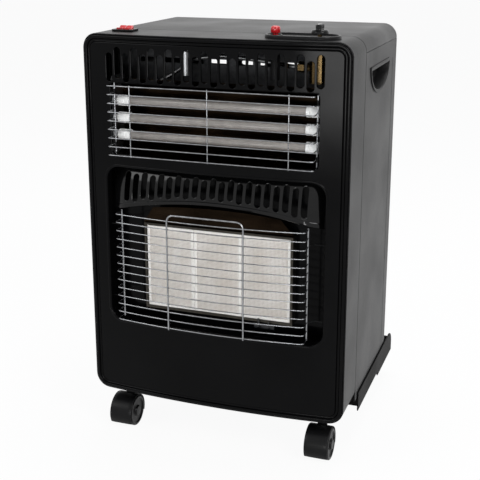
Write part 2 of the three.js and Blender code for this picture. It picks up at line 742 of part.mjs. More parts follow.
function burnerHousing() {
  const frameFront = BURNER_Y - 1.5;
  const rimHalf = BURNER_HALF + BURNER_RIM;
  const rimLow = BURNER_LOW - BURNER_RIM;
  const rimHigh = BURNER_HIGH + BURNER_RIM;
  const rimBack = CHAMBER_BACK_Y - CHAMBER_WALL - SEAT;
  const flange = box(-rimHalf, rimHalf, frameFront, rimBack, rimLow, rimHigh);
  const hopper = alongX(polygon([
    [frameFront + 10, BURNER_LOW], [58, BURNER_LOW + 12], [66, BURNER_LOW + 30],
    [66, BURNER_HIGH - 30], [58, BURNER_HIGH - 12], [frameFront + 10, BURNER_HIGH],
  ]), -BURNER_HALF, BURNER_HALF);
  const seat = box(-BURNER_HALF, BURNER_HALF, frameFront - 5, BURNER_Y + PLAQUE_THICK + 1, BURNER_LOW, BURNER_HIGH);
  const mixer = roundBar(13, -BURNER_HALF - 30, -BURNER_HALF + 10, MIXER.y, MIXER.z, 14);
  const throat = roundBar(9, -BURNER_HALF - 36, -BURNER_HALF - 12, MIXER.y, MIXER.z, 14);
  return cut(join(flange, hopper, mixer), seat, throat);
}

// A ceramic plaque with the shallow border that the flame plate has.
function plaque(i) {
  const x = (i - (PLAQUE_COUNT - 1) / 2) * PLAQUE_WIDTH;
  const half = PLAQUE_WIDTH / 2 - SEAT;
  const z1 = PLAQUE_LOW_Z + PLAQUE_HEIGHT;
  const tile = box(x - half, x + half, BURNER_Y, BURNER_Y + PLAQUE_THICK, PLAQUE_LOW_Z, z1);
  const field = box(x - half + 4, x + half - 4, BURNER_Y - 2, BURNER_Y + 0.8, PLAQUE_LOW_Z + 4, z1 - 4);
  return cut(tile, field);
}

// Lower edge of the hood, arched up in the middle.
function hoodEdge(x) {
  return HOOD_EDGE_Z - HOOD_ARCH * (x / HOOD_HALF) ** 2;
}

// The depth of the hood's face at a height and a place across: it leans out to its lower edge
// and its ends curl back into the recess.
function hoodFace(x, height) {
  const past = Math.max(Math.abs(x) / HOOD_HALF - HOOD_CURL_START, 0) / (1 - HOOD_CURL_START);
  const lean = HOOD_LEAN * height ** 2.2 + 1.5 * height;
  return -2 + bowAt(x) * 0.35 + lean + HOOD_CURL * past ** 2;
}

// The hood as a lofted sheet: columns across and rows from the lower hem to the top edge.
function hoodSheet() {
  const stops = [0, 0.3, 0.6, HOOD_CURL_START, 0.9, 0.96, 1];
  const columns = [...stops.slice(1).reverse().map((stop) => -stop), ...stops];
  const rows = [0, 0.6, 1];
  const thick = 1.6;
  const top = RECESS.high + 4 - CHAMBER_WALL - SEAT;
  const grid = [];
  for (const side of [0, thick]) {
    for (const column of columns) {
      const x = HOOD_HALF * column;
      for (const row of rows) {
        const low = hoodEdge(x);
        grid.push([x, hoodFace(x, row) + side, low + (top - low) * row]);
      }
    }
  }
  return sheetBetween(grid, columns.length, rows.length);
}

// Closes two equal grids of points, front then back, into one solid sheet.
function sheetBetween(points, columns, rows) {
  const layer = columns * rows;
  const at = (side, c, r) => side * layer + c * rows + r;
  const index = [];
  const quad = (a, b, c, d) => index.push(a, b, c, a, c, d);
  for (let c = 0; c < columns - 1; c++) {
    for (let r = 0; r < rows - 1; r++) {
      quad(at(0, c, r), at(0, c + 1, r), at(0, c + 1, r + 1), at(0, c, r + 1));
      quad(at(1, c, r + 1), at(1, c + 1, r + 1), at(1, c + 1, r), at(1, c, r));
    }
    quad(at(1, c, 0), at(1, c + 1, 0), at(0, c + 1, 0), at(0, c, 0));
    quad(at(0, c, rows - 1), at(0, c + 1, rows - 1), at(1, c + 1, rows - 1), at(1, c, rows - 1));
  }
  for (let r = 0; r < rows - 1; r++) {
    quad(at(1, 0, r), at(0, 0, r), at(0, 0, r + 1), at(1, 0, r + 1));
    const last = columns - 1;
    quad(at(0, last, r), at(1, last, r), at(1, last, r + 1), at(0, last, r + 1));
  }
  const geometry = new THREE.BufferGeometry();
  geometry.setAttribute('position', new THREE.Float32BufferAttribute(points.flat(), 3));
  geometry.setIndex(index);
  return geometry;
}

function burnerHood() {
  const cutters = [];
  for (let i = 0; i < HOOD_SLOTS; i++) {
    const x = (i - (HOOD_SLOTS - 1) / 2) * SLOT_PITCH;
    const raise = i % 2 ? 0 : 3;
    const low = hoodEdge(x) + 8 + raise;
    const high = RECESS.high - 15 + raise;
    cutters.push(alongY(uprightSlot(x, (low + high) / 2, HOOD_SLOT_WIDTH, high - low), -30, 30));
  }
  return cut(hoodSheet(), ...cutters);
}

// The bronzed plate that throws the burner's heat forward, above the plaques.
function heatDeflector() {
  const low = BURNER_HIGH + BURNER_RIM + SEAT;
  const high = 396;
  const thick = 1.2;
  const points = [];
  const columns = 12;
  for (const side of [0, thick]) {
    for (let c = 0; c <= columns; c++) {
      const t = (2 * c) / columns - 1;
      points.push([t * 124, 17 + side, low]);
      points.push([t * 104, 9 + side - 2 * (1 - t * t), high - 6 + 6 * (1 - t * t)]);
    }
  }
  return sheetBetween(points, columns + 1, 2);
}

// The bent supply pipe from the valve's outlet, behind the bays, down into the burner's mixer.
function gasPipe() {
  const z = OUTLET_Z;
  const route = [
    [KNOB.x - 30 - SEAT, KNOB.y, z], [113, KNOB.y, z], [96, 46, z], [60, 50, z + 4], [0, 53, z + 9], [-52, 56, z + 2],
    [-84, 60, z - 22], [-150, 66, 560], [-186, 66, 480], [-186, 62, 330],
    [-178, MIXER.y, MIXER.z], [-BURNER_HALF - 20, MIXER.y, MIXER.z],
  ];
  return wire(bent(route, 11, 1), 3.2, 5);
}

// The pilot's gas tube under the plaques, with its spark electrode and flame probe.
function pilotBurner() {
  const { x0, x1, y } = PILOT;
  const z = PLAQUE_LOW_Z - PILOT.below;
  const rod = (x, lift, radius) => {
    return wire(bent([[x, y, z], [x, y - 12, z + 2], [x, y - 13, z + lift]], 3, 1), radius);
  };
  return join(roundBar(4, x0, x1, y, z, 10), rod(x1 - 6, 14, 1.2), rod(x0 + 10, 18, 1.6));
}

function gasInlet() {
  const nozzle = new THREE.LatheGeometry([
    [0, 0], [11, 0], [11, 7], [6.8, 7], [6.8, 18], [5, 20], [6.2, 26], [5, 28], [6.2, 34], [4.4, 40], [0, 40],
  ].map(([r, h]) => new THREE.Vector2(r, h)), 10);
  return nozzle.translate(KNOB.x, SHIELD_Y - 7 - SEAT, INLET_Z);
}

// ---------- wire guards ----------

// A wire across the guard whose ends turn back into the side rails.
function guardWire(z, half, depth, bow, rear) {
  const corners = [[-half + WIRE_TAPER, rear, z], [-half, depth, z]];
  const steps = bow > 0 ? 4 : 1;
  for (let i = 1; i < steps; i++) {
    const x = -half + (2 * half * i) / steps;
    const t = x / half;
    corners.push([x, depth - bow * (1 - t * t), z]);
  }
  corners.push([half, depth, z], [half - WIRE_TAPER, rear, z]);
  return wire(corners.map((corner) => new THREE.Vector3(...corner)), WIRE_R, 4);
}

function upright(x, y, z0, z1, radius = WIRE_R) {
  return roundPost(radius, z0, z1, x, y, 4);
}

function upperGuard() {
  const half = 162;
  const low = WINDOW.low + 2;
  const pitch = (WINDOW.high - 2 - low) / (UPPER_WIRES - 1);
  const wires = [];
  for (let i = 0; i < UPPER_WIRES; i++) {
    wires.push(guardWire(low + pitch * i, half, UPPER_GUARD_Y, 0, UPPER_RAIL_Y));
  }
  const z0 = low - 2;
  const z1 = WINDOW.high;
  const bars = [
    upright(0, UPPER_GUARD_Y + 1.6 * WIRE_R, z0, z1),
    upright(-124, UPPER_GUARD_Y + 1.6 * WIRE_R, z0, z1),
    upright(124, UPPER_GUARD_Y + 1.6 * WIRE_R, z0, z1),
    upright(-half + WIRE_TAPER, UPPER_RAIL_Y, z0, z1, HOOP_R),
    upright(half - WIRE_TAPER, UPPER_RAIL_Y, z0, z1, HOOP_R),
  ];
  const clips = [];
  for (const z of [low + 8, WINDOW.high - 18]) {
    clips.push(box(-half - 9, -half + WIRE_TAPER, -0.4, 1.8, z, z + 8));
    clips.push(box(half - WIRE_TAPER, half + 9, -0.4, 1.8, z, z + 8));
  }
  return join(...wires, ...bars, ...clips);
}

function lowerGuard() {
  const half = 153;
  const low = 211;
  const high = 384;
  const pitch = (high - low) / (LOWER_WIRES - 1);
  const wires = [];
  for (let i = 0; i < LOWER_WIRES; i++) {
    wires.push(guardWire(low + pitch * i, half, LOWER_GUARD_Y, GUARD_BOW, LOWER_RAIL_Y));
  }
  const hoopX = 61;
  const hoopY = LOWER_GUARD_Y - GUARD_BOW * (1 - (hoopX / half) ** 2) - WIRE_R - HOOP_R + 0.8;
  const legs = [[-hoopX, hoopY, low - 2], [-hoopX, hoopY, high + 10], [hoopX, hoopY, high + 10], [hoopX, hoopY, low - 2]];
  const hoop = wire(bent(legs, 10, 2), HOOP_R, 4);
  const rods = [];
  for (const side of [-1, 1]) {
    const x = side * (half - WIRE_TAPER);
    const lip = side * (RECESS.halfWidth - LIP_IN - SEAT);
    rods.push(upright(x, LOWER_RAIL_Y, low - 2, high + 2, HOOP_R));
    for (const z of [low + 26, high - 26]) {
      rods.push(wire(bent([[x, LOWER_RAIL_Y, z], [x + side * 9, 6, z], [lip, 6, z]], 3, 1), WIRE_R, 4));
    }
  }
  return join(...wires, hoop, ...rods);
}

// ---------- casters ----------

// Each caster is drawn about its swivel axis, with the wheels set towards -Y.
function casterStem(z0, z1) {
  return turned([[0, z0], [4.6, z0], [4.6, z1 - 3], [8, z1 - 3], [8, z1], [5.2, z1], [5.2, z1 + 8], [0, z1 + 8]], 8);
}

function casterHood() {
  const outerR = WHEEL_R + 3.6;
  const start = Math.PI * 1.17;
  const end = -Math.PI * 0.12;
  const shell = new THREE.Shape();
  shell.absarc(0, 0, outerR, end, start, false);
  shell.absarc(0, 0, WHEEL_R + 1.8, start, end, true);
  const cover = alongX(shell, -HOOD_WIDTH / 2, HOOD_WIDTH / 2, 4);
  const web = new THREE.Shape();
  web.absarc(0, 0, WHEEL_R + 2.7, end, start, false);
  web.lineTo(-7, -9);
  web.lineTo(7, -9);
  const boss = roundPost(8, WHEEL_R - 6, BOSS_TOP_Z - WHEEL_R, 0, CASTER_OFFSET, 8);
  const body = join(cover, alongX(web, -WEB_HALF, WEB_HALF, 4), boss);
  const bores = [roundBar(3.8, -10, 10, 0, 0, 6), roundPost(5.6, -30, 60, 0, CASTER_OFFSET, 6)];
  const wheelRoom = [-1, 1].map((side) => {
    const from = side * (WEB_HALF + 0.1);
    const to = side * 25;
    return roundBar(WHEEL_R + 1, Math.min(from, to), Math.max(from, to), 0, 0, 12);
  });
  return cut(body, ...bores, ...wheelRoom).translate(0, -CASTER_OFFSET, WHEEL_R);
}

function casterWheels() {
  const profile = [
    [0, WEB_HALF + 0.6], [25, WEB_HALF + 0.6], [25, 17], [22.5, 20], [0, 21.2],
  ];
  const wheel = new THREE.LatheGeometry(profile.map(([r, h]) => new THREE.Vector2(r, h)), 16);
  const right = wheel.clone().rotateZ(-Math.PI / 2);
  const left = wheel.clone().rotateZ(Math.PI / 2);
  const axle = roundBar(3, -WEB_HALF - 2, WEB_HALF + 2, 0, 0, 6);
  return join(right, left, axle).translate(0, -CASTER_OFFSET, WHEEL_R);
}

// ---------- materials ----------

function finish(color, roughness, metalness) {
  return new THREE.MeshStandardMaterial({ color, roughness, metalness });
}

const glossBlack = finish(0x070708, 0.22, 0.1);
const satinBlack = finish(0x131315, 0.42, 0.15);
const mouldedBlack = finish(0x0c0c0d, 0.5, 0);
const chrome = finish(0xc9cbcf, 0.15, 1);
const ceramic = finish(0xe3d8cd, 0.85, 0);
const whiteCeramic = finish(0xf0efec, 0.6, 0);
const quartz = finish(0x8d8480, 0.3, 0.1);
const redPlastic = finish(0xc4121c, 0.25, 0);
const bronze = finish(0x2a221a, 0.3, 0.8);
const zincSteel = finish(0x8e9194, 0.4, 0.8);
const brass = finish(0xb08d4c, 0.3, 1);
const aluminium = finish(0xb9bbbe, 0.35, 1);

// ---------- assembly ----------

const heater = new THREE.Group();
heater.name = 'cabinet_heater';
const cabinet = new THREE.Group();
heater.add(cabinet);

function add(name, geometry, material, parent = cabinet) {
  const mesh = new THREE.Mesh(geometry, material);
  mesh.name = name;
  parent.add(mesh);
}

add('front_frame', frontFrame(), satinBlack);
add('front_panel', frontPanel(), glossBlack);
add('top_cover', topCover(), satinBlack);
const rightSide = sidePanel();
const rightCup = handleCup();
add('side_panel_right', rightSide, satinBlack);
add('side_panel_left', mirrored(rightSide), satinBlack);
add('handle_cup_right', rightCup, mouldedBlack);
add('handle_cup_left', mirrored(rightCup), mouldedBlack);
add('heat_shield', heatShield(), zincSteel);
add('base_tray', baseTray(), satinBlack);
add('rear_cover', rearCover(), satinBlack);

add('control_bezel', controlBezel(), mouldedBlack);
add('gas_knob', gasKnob(), mouldedBlack);
add('valve_spindle', valveSpindle(), brass);
add('gas_valve', gasValve(), brass);
add('igniter_button', igniterButton(), redPlastic);
add('piezo_igniter', piezoIgniter(), mouldedBlack);
add('switch_bezel', switchBezel(), mouldedBlack);
add('rocker_left', rocker(SWITCH.x - 5.7), redPlastic);
add('rocker_right', rocker(SWITCH.x + 5.7), redPlastic);
add('tilt_switch', tiltSwitch(), zincSteel);

add('element_reflector', elementReflector(), bronze);
for (const [side, word] of [[-1, 'left'], [1, 'right']]) {
  add(`element_bracket_${word}`, elementBracket(side), zincSteel);
}
for (let i = 0; i < TUBE_COUNT; i++) {
  add(`quartz_tube_${i + 1}`, quartzTube(i), quartz);
  add(`tube_cap_${i + 1}_left`, tubeCap(i, -1), whiteCeramic);
  add(`tube_cap_${i + 1}_right`, tubeCap(i, 1), whiteCeramic);
}

add('burner_chamber', burnerChamber(), glossBlack);
add('burner_housing', burnerHousing(), zincSteel);
for (let i = 0; i < PLAQUE_COUNT; i++) {
  add(`ceramic_plaque_${i + 1}`, plaque(i), ceramic);
}
add('burner_hood', burnerHood(), glossBlack);
add('heat_deflector', heatDeflector(), bronze);
add('gas_pipe', gasPipe(), aluminium);
add('pilot_burner', pilotBurner(), zincSteel);
add('gas_inlet', gasInlet(), brass);
add('upper_guard', upperGuard(), chrome);
add('lower_guard', lowerGuard(), chrome);

const casterPlaces = [
  ['front_left', -CASTER_X, CASTER_FRONT_Y, FRONT_BOTTOM_Z],
  ['front_right', CASTER_X, CASTER_FRONT_Y, FRONT_BOTTOM_Z],
  ['rear_left', -CASTER_X, CASTER_REAR_Y, TRAY_FLOOR_Z],
  ['rear_right', CASTER_X, CASTER_REAR_Y, TRAY_FLOOR_Z],
];
for (const [place, x, y, top] of casterPlaces) {
  const spot = new THREE.Group();
  spot.position.set(x, y, 0);
  cabinet.add(spot);
  add(`caster_stem_${place}`, casterStem(BOSS_TOP_Z - 7, top - SEAT), zincSteel, spot);
  add(`caster_hood_${place}`, casterHood(), mouldedBlack, spot);
  add(`caster_wheels_${place}`, casterWheels(), mouldedBlack, spot);
}

// The origin lies on the floor under the middle of the whole heater, guards and tray included.
const reach = new THREE.Box3().setFromObject(cabinet, true);
cabinet.position.y = -(reach.min.y + reach.max.y) / 2;

export default heater;
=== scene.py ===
import math
import bpy
import bmesh
from mathutils import Matrix, Vector


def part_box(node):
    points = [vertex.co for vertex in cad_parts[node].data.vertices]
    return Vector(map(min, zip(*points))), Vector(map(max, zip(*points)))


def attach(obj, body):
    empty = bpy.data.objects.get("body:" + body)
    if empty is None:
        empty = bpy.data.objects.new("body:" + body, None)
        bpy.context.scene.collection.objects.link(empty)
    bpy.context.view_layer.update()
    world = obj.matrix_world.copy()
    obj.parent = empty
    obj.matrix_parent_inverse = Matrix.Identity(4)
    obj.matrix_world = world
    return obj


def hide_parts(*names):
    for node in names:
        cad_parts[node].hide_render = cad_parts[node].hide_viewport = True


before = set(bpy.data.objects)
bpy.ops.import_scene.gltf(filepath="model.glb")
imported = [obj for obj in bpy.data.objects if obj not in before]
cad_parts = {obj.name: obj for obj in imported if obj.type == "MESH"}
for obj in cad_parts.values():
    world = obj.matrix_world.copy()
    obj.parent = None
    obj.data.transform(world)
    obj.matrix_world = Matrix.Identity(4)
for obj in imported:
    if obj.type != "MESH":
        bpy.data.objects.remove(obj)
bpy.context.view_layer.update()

# ---------- studio ----------
# A pale floor and a plain white surround, three softboxes above and a low one in front. The
# camera stands to the right of the heater's front and looks a little down on it.

PHOTO_SIDE = 480
scene = bpy.context.scene
scene.view_settings.view_transform = "Standard"


def added(name, data):
    thing = bpy.data.objects.new(name, data)
    scene.collection.objects.link(thing)
    return thing


def nodes_of(material):
    material.use_nodes = True
    tree = material.node_tree
    tree.nodes.clear()
    return tree


def add_node(tree, kind, **inputs):
    node = tree.nodes.new(kind)
    for name, value in inputs.items():
        node.inputs[name.replace("_", " ")].default_value = value
    return node


def math_node(tree, operation, first, second=None):
    node = add_node(tree, "ShaderNodeMath")
    node.operation = operation
    tree.links.new(first, node.inputs[0])
    if isinstance(second, float):
        node.inputs[1].default_value = second
    elif second:
        tree.links.new(second, node.inputs[1])
    return node.outputs[0]


def seen_directly(tree):
    path = tree.nodes.new("ShaderNodeLightPath").outputs
    either = math_node(tree, "MAXIMUM", path["Is Camera Ray"], path["Is Glossy Ray"])
    return math_node(tree, "MAXIMUM", either, path["Is Transmission Ray"])


def mixed(tree, share, first, second, output_kind):
    """Mixes two shaders by a share and sends the result to the tree's output."""
    mix = tree.nodes.new("ShaderNodeMixShader")
    tree.links.new(share, mix.inputs[0])
    tree.links.new(first.outputs[0], mix.inputs[1])
    tree.links.new(second.outputs[0], mix.inputs[2])
    out = tree.nodes.new(output_kind)
    tree.links.new(mix.outputs[0], out.inputs["Surface"])


scene.world = bpy.data.worlds.new("white surround")
tree = nodes_of(scene.world)
dim = add_node(tree, "ShaderNodeBackground", Color=(0.9, 0.93, 1.0, 1), Strength=0.35)
white = add_node(tree, "ShaderNodeBackground", Color=(1, 1, 1, 1), Strength=1.0)
mixed(tree, seen_directly(tree), dim, white, "ShaderNodeOutputWorld")

FLOOR_REACH, FLOOR_GLOW = 40.0, 0.94
floor_finish = bpy.data.materials.new("pale floor")
tree = nodes_of(floor_finish)
matt = add_node(tree, "ShaderNodeBsdfDiffuse", Color=(0.86, 0.86, 0.86, 1))
glow = add_node(tree, "ShaderNodeEmission", Color=(1, 1, 1, 1), Strength=1.0)
share = math_node(tree, "MULTIPLY", seen_directly(tree), FLOOR_GLOW)
mixed(tree, share, matt, glow, "ShaderNodeOutputMaterial")
floor_mesh = bpy.data.meshes.new("floor")
corners = [(x * FLOOR_REACH, y * FLOOR_REACH, 0) for x, y in ((-1, -1), (1, -1), (1, 1), (-1, 1))]
floor_mesh.from_pydata(corners, [], [(0, 1, 2, 3)])
floor_mesh.materials.append(floor_finish)
floor = added("floor", floor_mesh)


def softbox(name, place, aim, size, power):
    lamp = bpy.data.lights.new(name, "AREA")
    lamp.shape = "RECTANGLE"
    lamp.size, lamp.size_y = size
    lamp.energy = power
    box = added(name, lamp)
    box.location = place
    box.rotation_euler = (Vector(aim) - Vector(place)).to_track_quat("-Z", "Y").to_euler()


softbox("overhead softbox", (0.1, 0.6, 2.6), (0, 0.1, 0.4), (1.8, 1.4), 42)
softbox("right softbox", (1.9, -1.5, 2.0), (0, 0, 0.4), (1.2, 1.0), 36)
softbox("left softbox", (-2.0, -2.2, 2.0), (0, 0, 0.35), (1.3, 1.1), 20)
softbox("low front softbox", (0.3, -2.9, 0.27), (0.1, 0, 0.4), (0.9, 0.5), 16)

FOCAL_PIXELS, SHIFT_PIXELS = 965, -40
CAMERA_TURN, CAMERA_TILT = 0.342, 0.268
camera_data = bpy.data.cameras.new("camera")
camera_data.sensor_width = 36
camera_data.lens = camera_data.sensor_width * FOCAL_PIXELS / PHOTO_SIDE
camera_data.shift_y = SHIFT_PIXELS / PHOTO_SIDE
scene.camera = added("camera", camera_data)
scene.camera.location = (0.509, -1.4768, 0.799)
scene.camera.rotation_euler = (math.pi / 2 - CAMERA_TILT, 0, CAMERA_TURN)

# ---------- front frame ----------
# The cabinet's front ring: one sheet steel strip folded to a rounded rectangle 80 mm deep, with
# its front edge cut to the bow of the front. It is powder coated, as the cabinet is.


def linked(tree, *links):
    for source, output, target, socket in links:
        tree.links.new(source.outputs[output], target.inputs[socket])


def with_sockets(group, in_out, kinds):
    """Adds sockets to a node group and returns its node for that side."""
    for label, kind in kinds.items():
        group.interface.new_socket(label, in_out=in_out, socket_type=f"NodeSocket{kind}")
    return group.nodes.new(f"NodeGroup{in_out.title()}")


sprayed = bpy.data.node_groups.new("sprayed skin", "ShaderNodeTree")
given = with_sockets(sprayed, "INPUT", {"Scale": "Float", "Strength": "Float"})
gives = with_sockets(sprayed, "OUTPUT", {"Normal": "Vector", "Cloud": "Float"})
place = sprayed.nodes.new("ShaderNodeTexCoord")
skin_noise = add_node(sprayed, "ShaderNodeTexNoise", Detail=2.0)
cloud = add_node(sprayed, "ShaderNodeTexNoise", Scale=9.0, Detail=4.0)
bump = add_node(sprayed, "ShaderNodeBump", Distance=0.0002)
linked(
    sprayed, (place, "Object", skin_noise, "Vector"), (place, "Object", cloud, "Vector"),
    (given, "Scale", skin_noise, "Scale"), (given, "Strength", bump, "Strength"),
    (skin_noise, "Fac", bump, "Height"), (bump, "Normal", gives, "Normal"), (cloud, "Fac", gives, "Cloud"),
)


def ranged(tree, source, low, high, start=0.3, end=0.7):
    node = add_node(tree, "ShaderNodeMapRange", From_Min=start, From_Max=end, To_Min=low, To_Max=high)
    tree.links.new(source, node.inputs["Value"])
    return node.outputs[0]


def two_tone(tree, source, dark, light, start=0.3, end=0.7):
    ramp = tree.nodes.new("ShaderNodeValToRGB")
    first, last = ramp.color_ramp.elements
    first.position, last.position = start, end
    first.color, last.color = (*dark, 1), (*light, 1)
    tree.links.new(source, ramp.inputs["Fac"])
    return ramp.outputs["Color"]


def principled(name, **sockets):
    """A new material with its tree and the shader that the tree puts out."""
    material = bpy.data.materials.new(name)
    tree = nodes_of(material)
    shader = add_node(tree, "ShaderNodeBsdfPrincipled", **sockets)
    out = tree.nodes.new("ShaderNodeOutputMaterial")
    tree.links.new(shader.outputs[0], out.inputs["Surface"])
    return material, tree, shader


def toned(tree, shader, source, dark, light, rough):
    """Lets one noise lead the colour and the gloss."""
    tree.links.new(two_tone(tree, source, dark, light), shader.inputs["Base Color"])
    if rough:
        tree.links.new(ranged(tree, source, *rough), shader.inputs["Roughness"])


def coated(name, dark, light, rough, scale, strength, specular):
    """Sprayed paint: a fine skin over a slow cloud in colour and gloss."""
    material, tree, shader = principled(name, Specular_IOR_Level=specular)
    surface = tree.nodes.new("ShaderNodeGroup")
    surface.node_tree = sprayed
    surface.inputs["Scale"].default_value = scale
    surface.inputs["Strength"].default_value = strength
    toned(tree, shader, surface.outputs["Cloud"], dark, light, rough)
    tree.links.new(surface.outputs["Normal"], shader.inputs["Normal"])
    return material


SOFT_BLACK = (0.005, 0.005, 0.0053), (0.01, 0.01, 0.0104)
powder_coat = coated("powder coat", *SOFT_BLACK, (0.28, 0.38), 2600, 0.25, 0.08)

FRAME_LOW, FRAME_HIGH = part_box("front_frame")
HALF, BOTTOM, TOP = FRAME_HIGH.x, FRAME_LOW.z, FRAME_HIGH.z
BOW, CORNER = 0.013, 0.023
FRONT, FRAME_REAR = FRAME_LOW.y + BOW, FRAME_HIGH.y


def bow_at(x):
    return -BOW * (1 - min(abs(x) / HALF, 1) ** 2)


def heater_y(y):
    return FRONT + y


def swept_arc(x, y, radius, start, turn, steps):
    """Points on an arc round a centre, from a start angle through a turn, both in half turns."""
    angles = [math.pi * (start + turn * i / steps) for i in range(steps + 1)]
    return [(x + radius * math.cos(angle), y + radius * math.sin(angle)) for angle in angles]


def outline(half, low, high, radius, arc=10, edge=28, centre=0.0):
    """A rounded rectangle in X and Z, with its two long edges cut into short runs."""
    points = []
    for side, level, z in ((1, high, high - radius), (-1, low, low + radius)):
        reach = side * (half - radius)
        start = 0 if side > 0 else 1
        points += swept_arc(centre + reach, z, radius, start, 0.5, arc)
        points += [(centre + reach - 2 * reach * i / edge, level) for i in range(1, edge)]
        points += swept_arc(centre - reach, z, radius, start + 0.5, 0.5, arc)
    return points


def shaped(verts, faces, crease=32):
    body = bmesh.new()
    corners = [body.verts.new(point) for point in verts]
    for face in faces:
        body.faces.new([corners[i] for i in face])
    return settled(body, crease)


def settled(body, crease=32):
    """Welds a shape, turns its faces outwards and keeps its edges sharp beyond a crease angle."""
    bmesh.ops.remove_doubles(body, verts=body.verts, dist=2e-6)
    bmesh.ops.dissolve_degenerate(body, edges=body.edges, dist=1e-7)
    bmesh.ops.recalc_face_normals(body, faces=body.faces)
    mesh = bpy.data.meshes.new("shape")
    body.to_mesh(mesh)
    body.free()
    mesh.shade_smooth()
    mesh.set_sharp_from_angle(angle=math.radians(crease))
    return mesh


def skinned(loops, ring=False, capped=False, crease=32):
    """A skin from loop to loop, closed to a ring or capped at both ends."""
    count = len(loops[0])
    verts = [point for loop in loops for point in loop]
    faces = []
    for row in range(len(loops) if ring else len(loops) - 1):
        after = (row + 1) % len(loops)
        for i in range(count):
            j = (i + 1) % count
            faces.append((row * count + i, row * count + j, after * count + j, after * count + i))
    if capped:
        faces.append(tuple(reversed(range(count))))
        faces.append(tuple(range((len(loops) - 1) * count, len(loops) * count)))
    return shaped(verts, faces, crease)


def joined(*meshes):
    body = bmesh.new()
    for mesh in meshes:
        body.from_mesh(mesh)
    mesh = bpy.data.meshes.new("shape")
    body.to_mesh(mesh)
    body.free()
    return mesh


def piece(name, mesh, finish, slot, body, *stands_for):
    mesh.name = name
    mesh.materials.clear()
    mesh.materials.append(finish)
    thing = added(name, mesh)
    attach(thing, body)
    if stands_for:
        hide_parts(*stands_for)


def dressed(finish, *nodes):
    for node in nodes:
        for slot in bpy.data.objects[node].material_slots:
            slot.material = finish


def bowed_loop(grow, depth, arc=10, half=HALF, low=BOTTOM, high=TOP, radius=CORNER):
    loop = outline(half + grow, low - grow, high + grow, max(radius + grow, 0.0006), arc)
    return [(x, FRONT + bow_at(x) + depth, z) for x, z in loop]


def straight_loop(grow, y):
    loop = outline(HALF + grow, BOTTOM - grow, TOP + grow, CORNER + grow)
    return [(x, y, z) for x, z in loop]


front_edge = [bowed_loop(grow, depth) for grow, depth in
              [(0, 0.0007), (-0.0006, 0), (-0.0014, 0), (-0.002, 0.0007)]]
rear_edge = [straight_loop(grow, y) for grow, y in
             [(-0.002, FRAME_REAR), (-0.0006, FRAME_REAR), (0, FRAME_REAR - 0.0008), (0, FRONT + 0.006)]]
flange = [bowed_loop(grow, depth) for grow, depth in
          [(-0.0012, 0.0058), (-0.0012, 0.0038), (-0.016, 0.0038), (-0.016, 0.0058)]]
frame_shell = joined(skinned(front_edge + rear_edge, ring=True), skinned(flange, ring=True))
piece("front_frame_shell", frame_shell, powder_coat, "satin_black_steel", "cabinet", "front_frame")

# ---------- front panel ----------
# One pressed steel front in gloss enamel: a rolled rim and a deep groove round the edge, two
# rows of staggered louvre slots, the element window, and the burner recess with a rolled lip.

gloss_enamel = coated(
    "gloss enamel", (0.0008, 0.0008, 0.001), (0.002, 0.002, 0.0022), (0.1, 0.2), 700, 0.06, 0.07
)
SLOTS, SLOT_PITCH, SLOT_WIDTH, SLOT_ARC = 24, 0.0143, 0.0106, 8
HIGH_SLOT, LOW_SLOT = (0.6145, 0.047), (0.6075, 0.043)
WINDOW = (0.164, 0.474, 0.584, 0.006)
RECESS = (0.179, 0.197, 0.457, 0.025)
FIELD_INSET, FIELD_THICK, FIELD_STRIP = 0.0129, 0.0035, 0.0075


def slot_points(x, low, high, width, arc=SLOT_ARC):
    radius = width / 2
    return swept_arc(x, high - radius, radius, 0, 1, arc) + swept_arc(x, low + radius, radius, 1, 1, arc)


def evaluated(thing):
    """The plain mesh that an object comes to. The object itself is removed."""
    mesh = bpy.data.meshes.new_from_object(thing.evaluated_get(bpy.context.evaluated_depsgraph_get()))
    bpy.data.objects.remove(thing)
    return mesh


def punched(rim, holes, thick, roll):
    """A flat sheet with holes and rolled edges, in its own X, Y and thickness."""
    flat = bpy.data.curves.new("blank", "CURVE")
    flat.dimensions = "2D"
    flat.fill_mode = "BOTH"
    flat.extrude = thick / 2 - roll
    flat.bevel_depth = roll
    flat.bevel_resolution = 1
    flat.offset = -roll
    for loop in [rim, *holes]:
        spline = flat.splines.new("POLY")
        spline.points.add(len(loop) - 1)
        for point, (u, v) in zip(spline.points, loop):
            point.co = (u, v, 0, 1)
        spline.use_cyclic_u = True
    body = bmesh.new()
    body.from_mesh(evaluated(added("blank", flat)))
    bmesh.ops.remove_doubles(body, verts=body.verts, dist=1e-6)
    return body


def sliced(body, axis, start, stop, step):
    """Cuts a sheet into strips along one axis, so that it can be bent."""
    normal = [0, 0, 0]
    normal[axis] = 1
    for i in range(1, int(round((stop - start) / step))):
        place = [0, 0, 0]
        place[axis] = start + step * i
        parts = body.verts[:] + body.edges[:] + body.faces[:]
        bmesh.ops.bisect_plane(body, geom=parts, plane_co=place, plane_no=normal, dist=1e-7)


holes = [outline(*WINDOW, arc=5, edge=2), outline(*RECESS, arc=9, edge=2)]
for i in range(SLOTS):
    middle, length = HIGH_SLOT if i % 2 else LOW_SLOT
    x = (i - (SLOTS - 1) / 2) * SLOT_PITCH
    holes.append(slot_points(x, middle - length / 2, middle + length / 2, SLOT_WIDTH))
field_rim = outline(HALF - FIELD_INSET, BOTTOM + FIELD_INSET, TOP - FIELD_INSET, CORNER - FIELD_INSET, 8, 2)
field = punched(field_rim, holes, FIELD_THICK, 0.0007)
sliced(field, 0, -HALF, HALF, FIELD_STRIP)
for vert in field.verts:
    x, z, w = vert.co
    vert.co = (x, FRONT + bow_at(x) + FIELD_THICK / 2 - w, z)

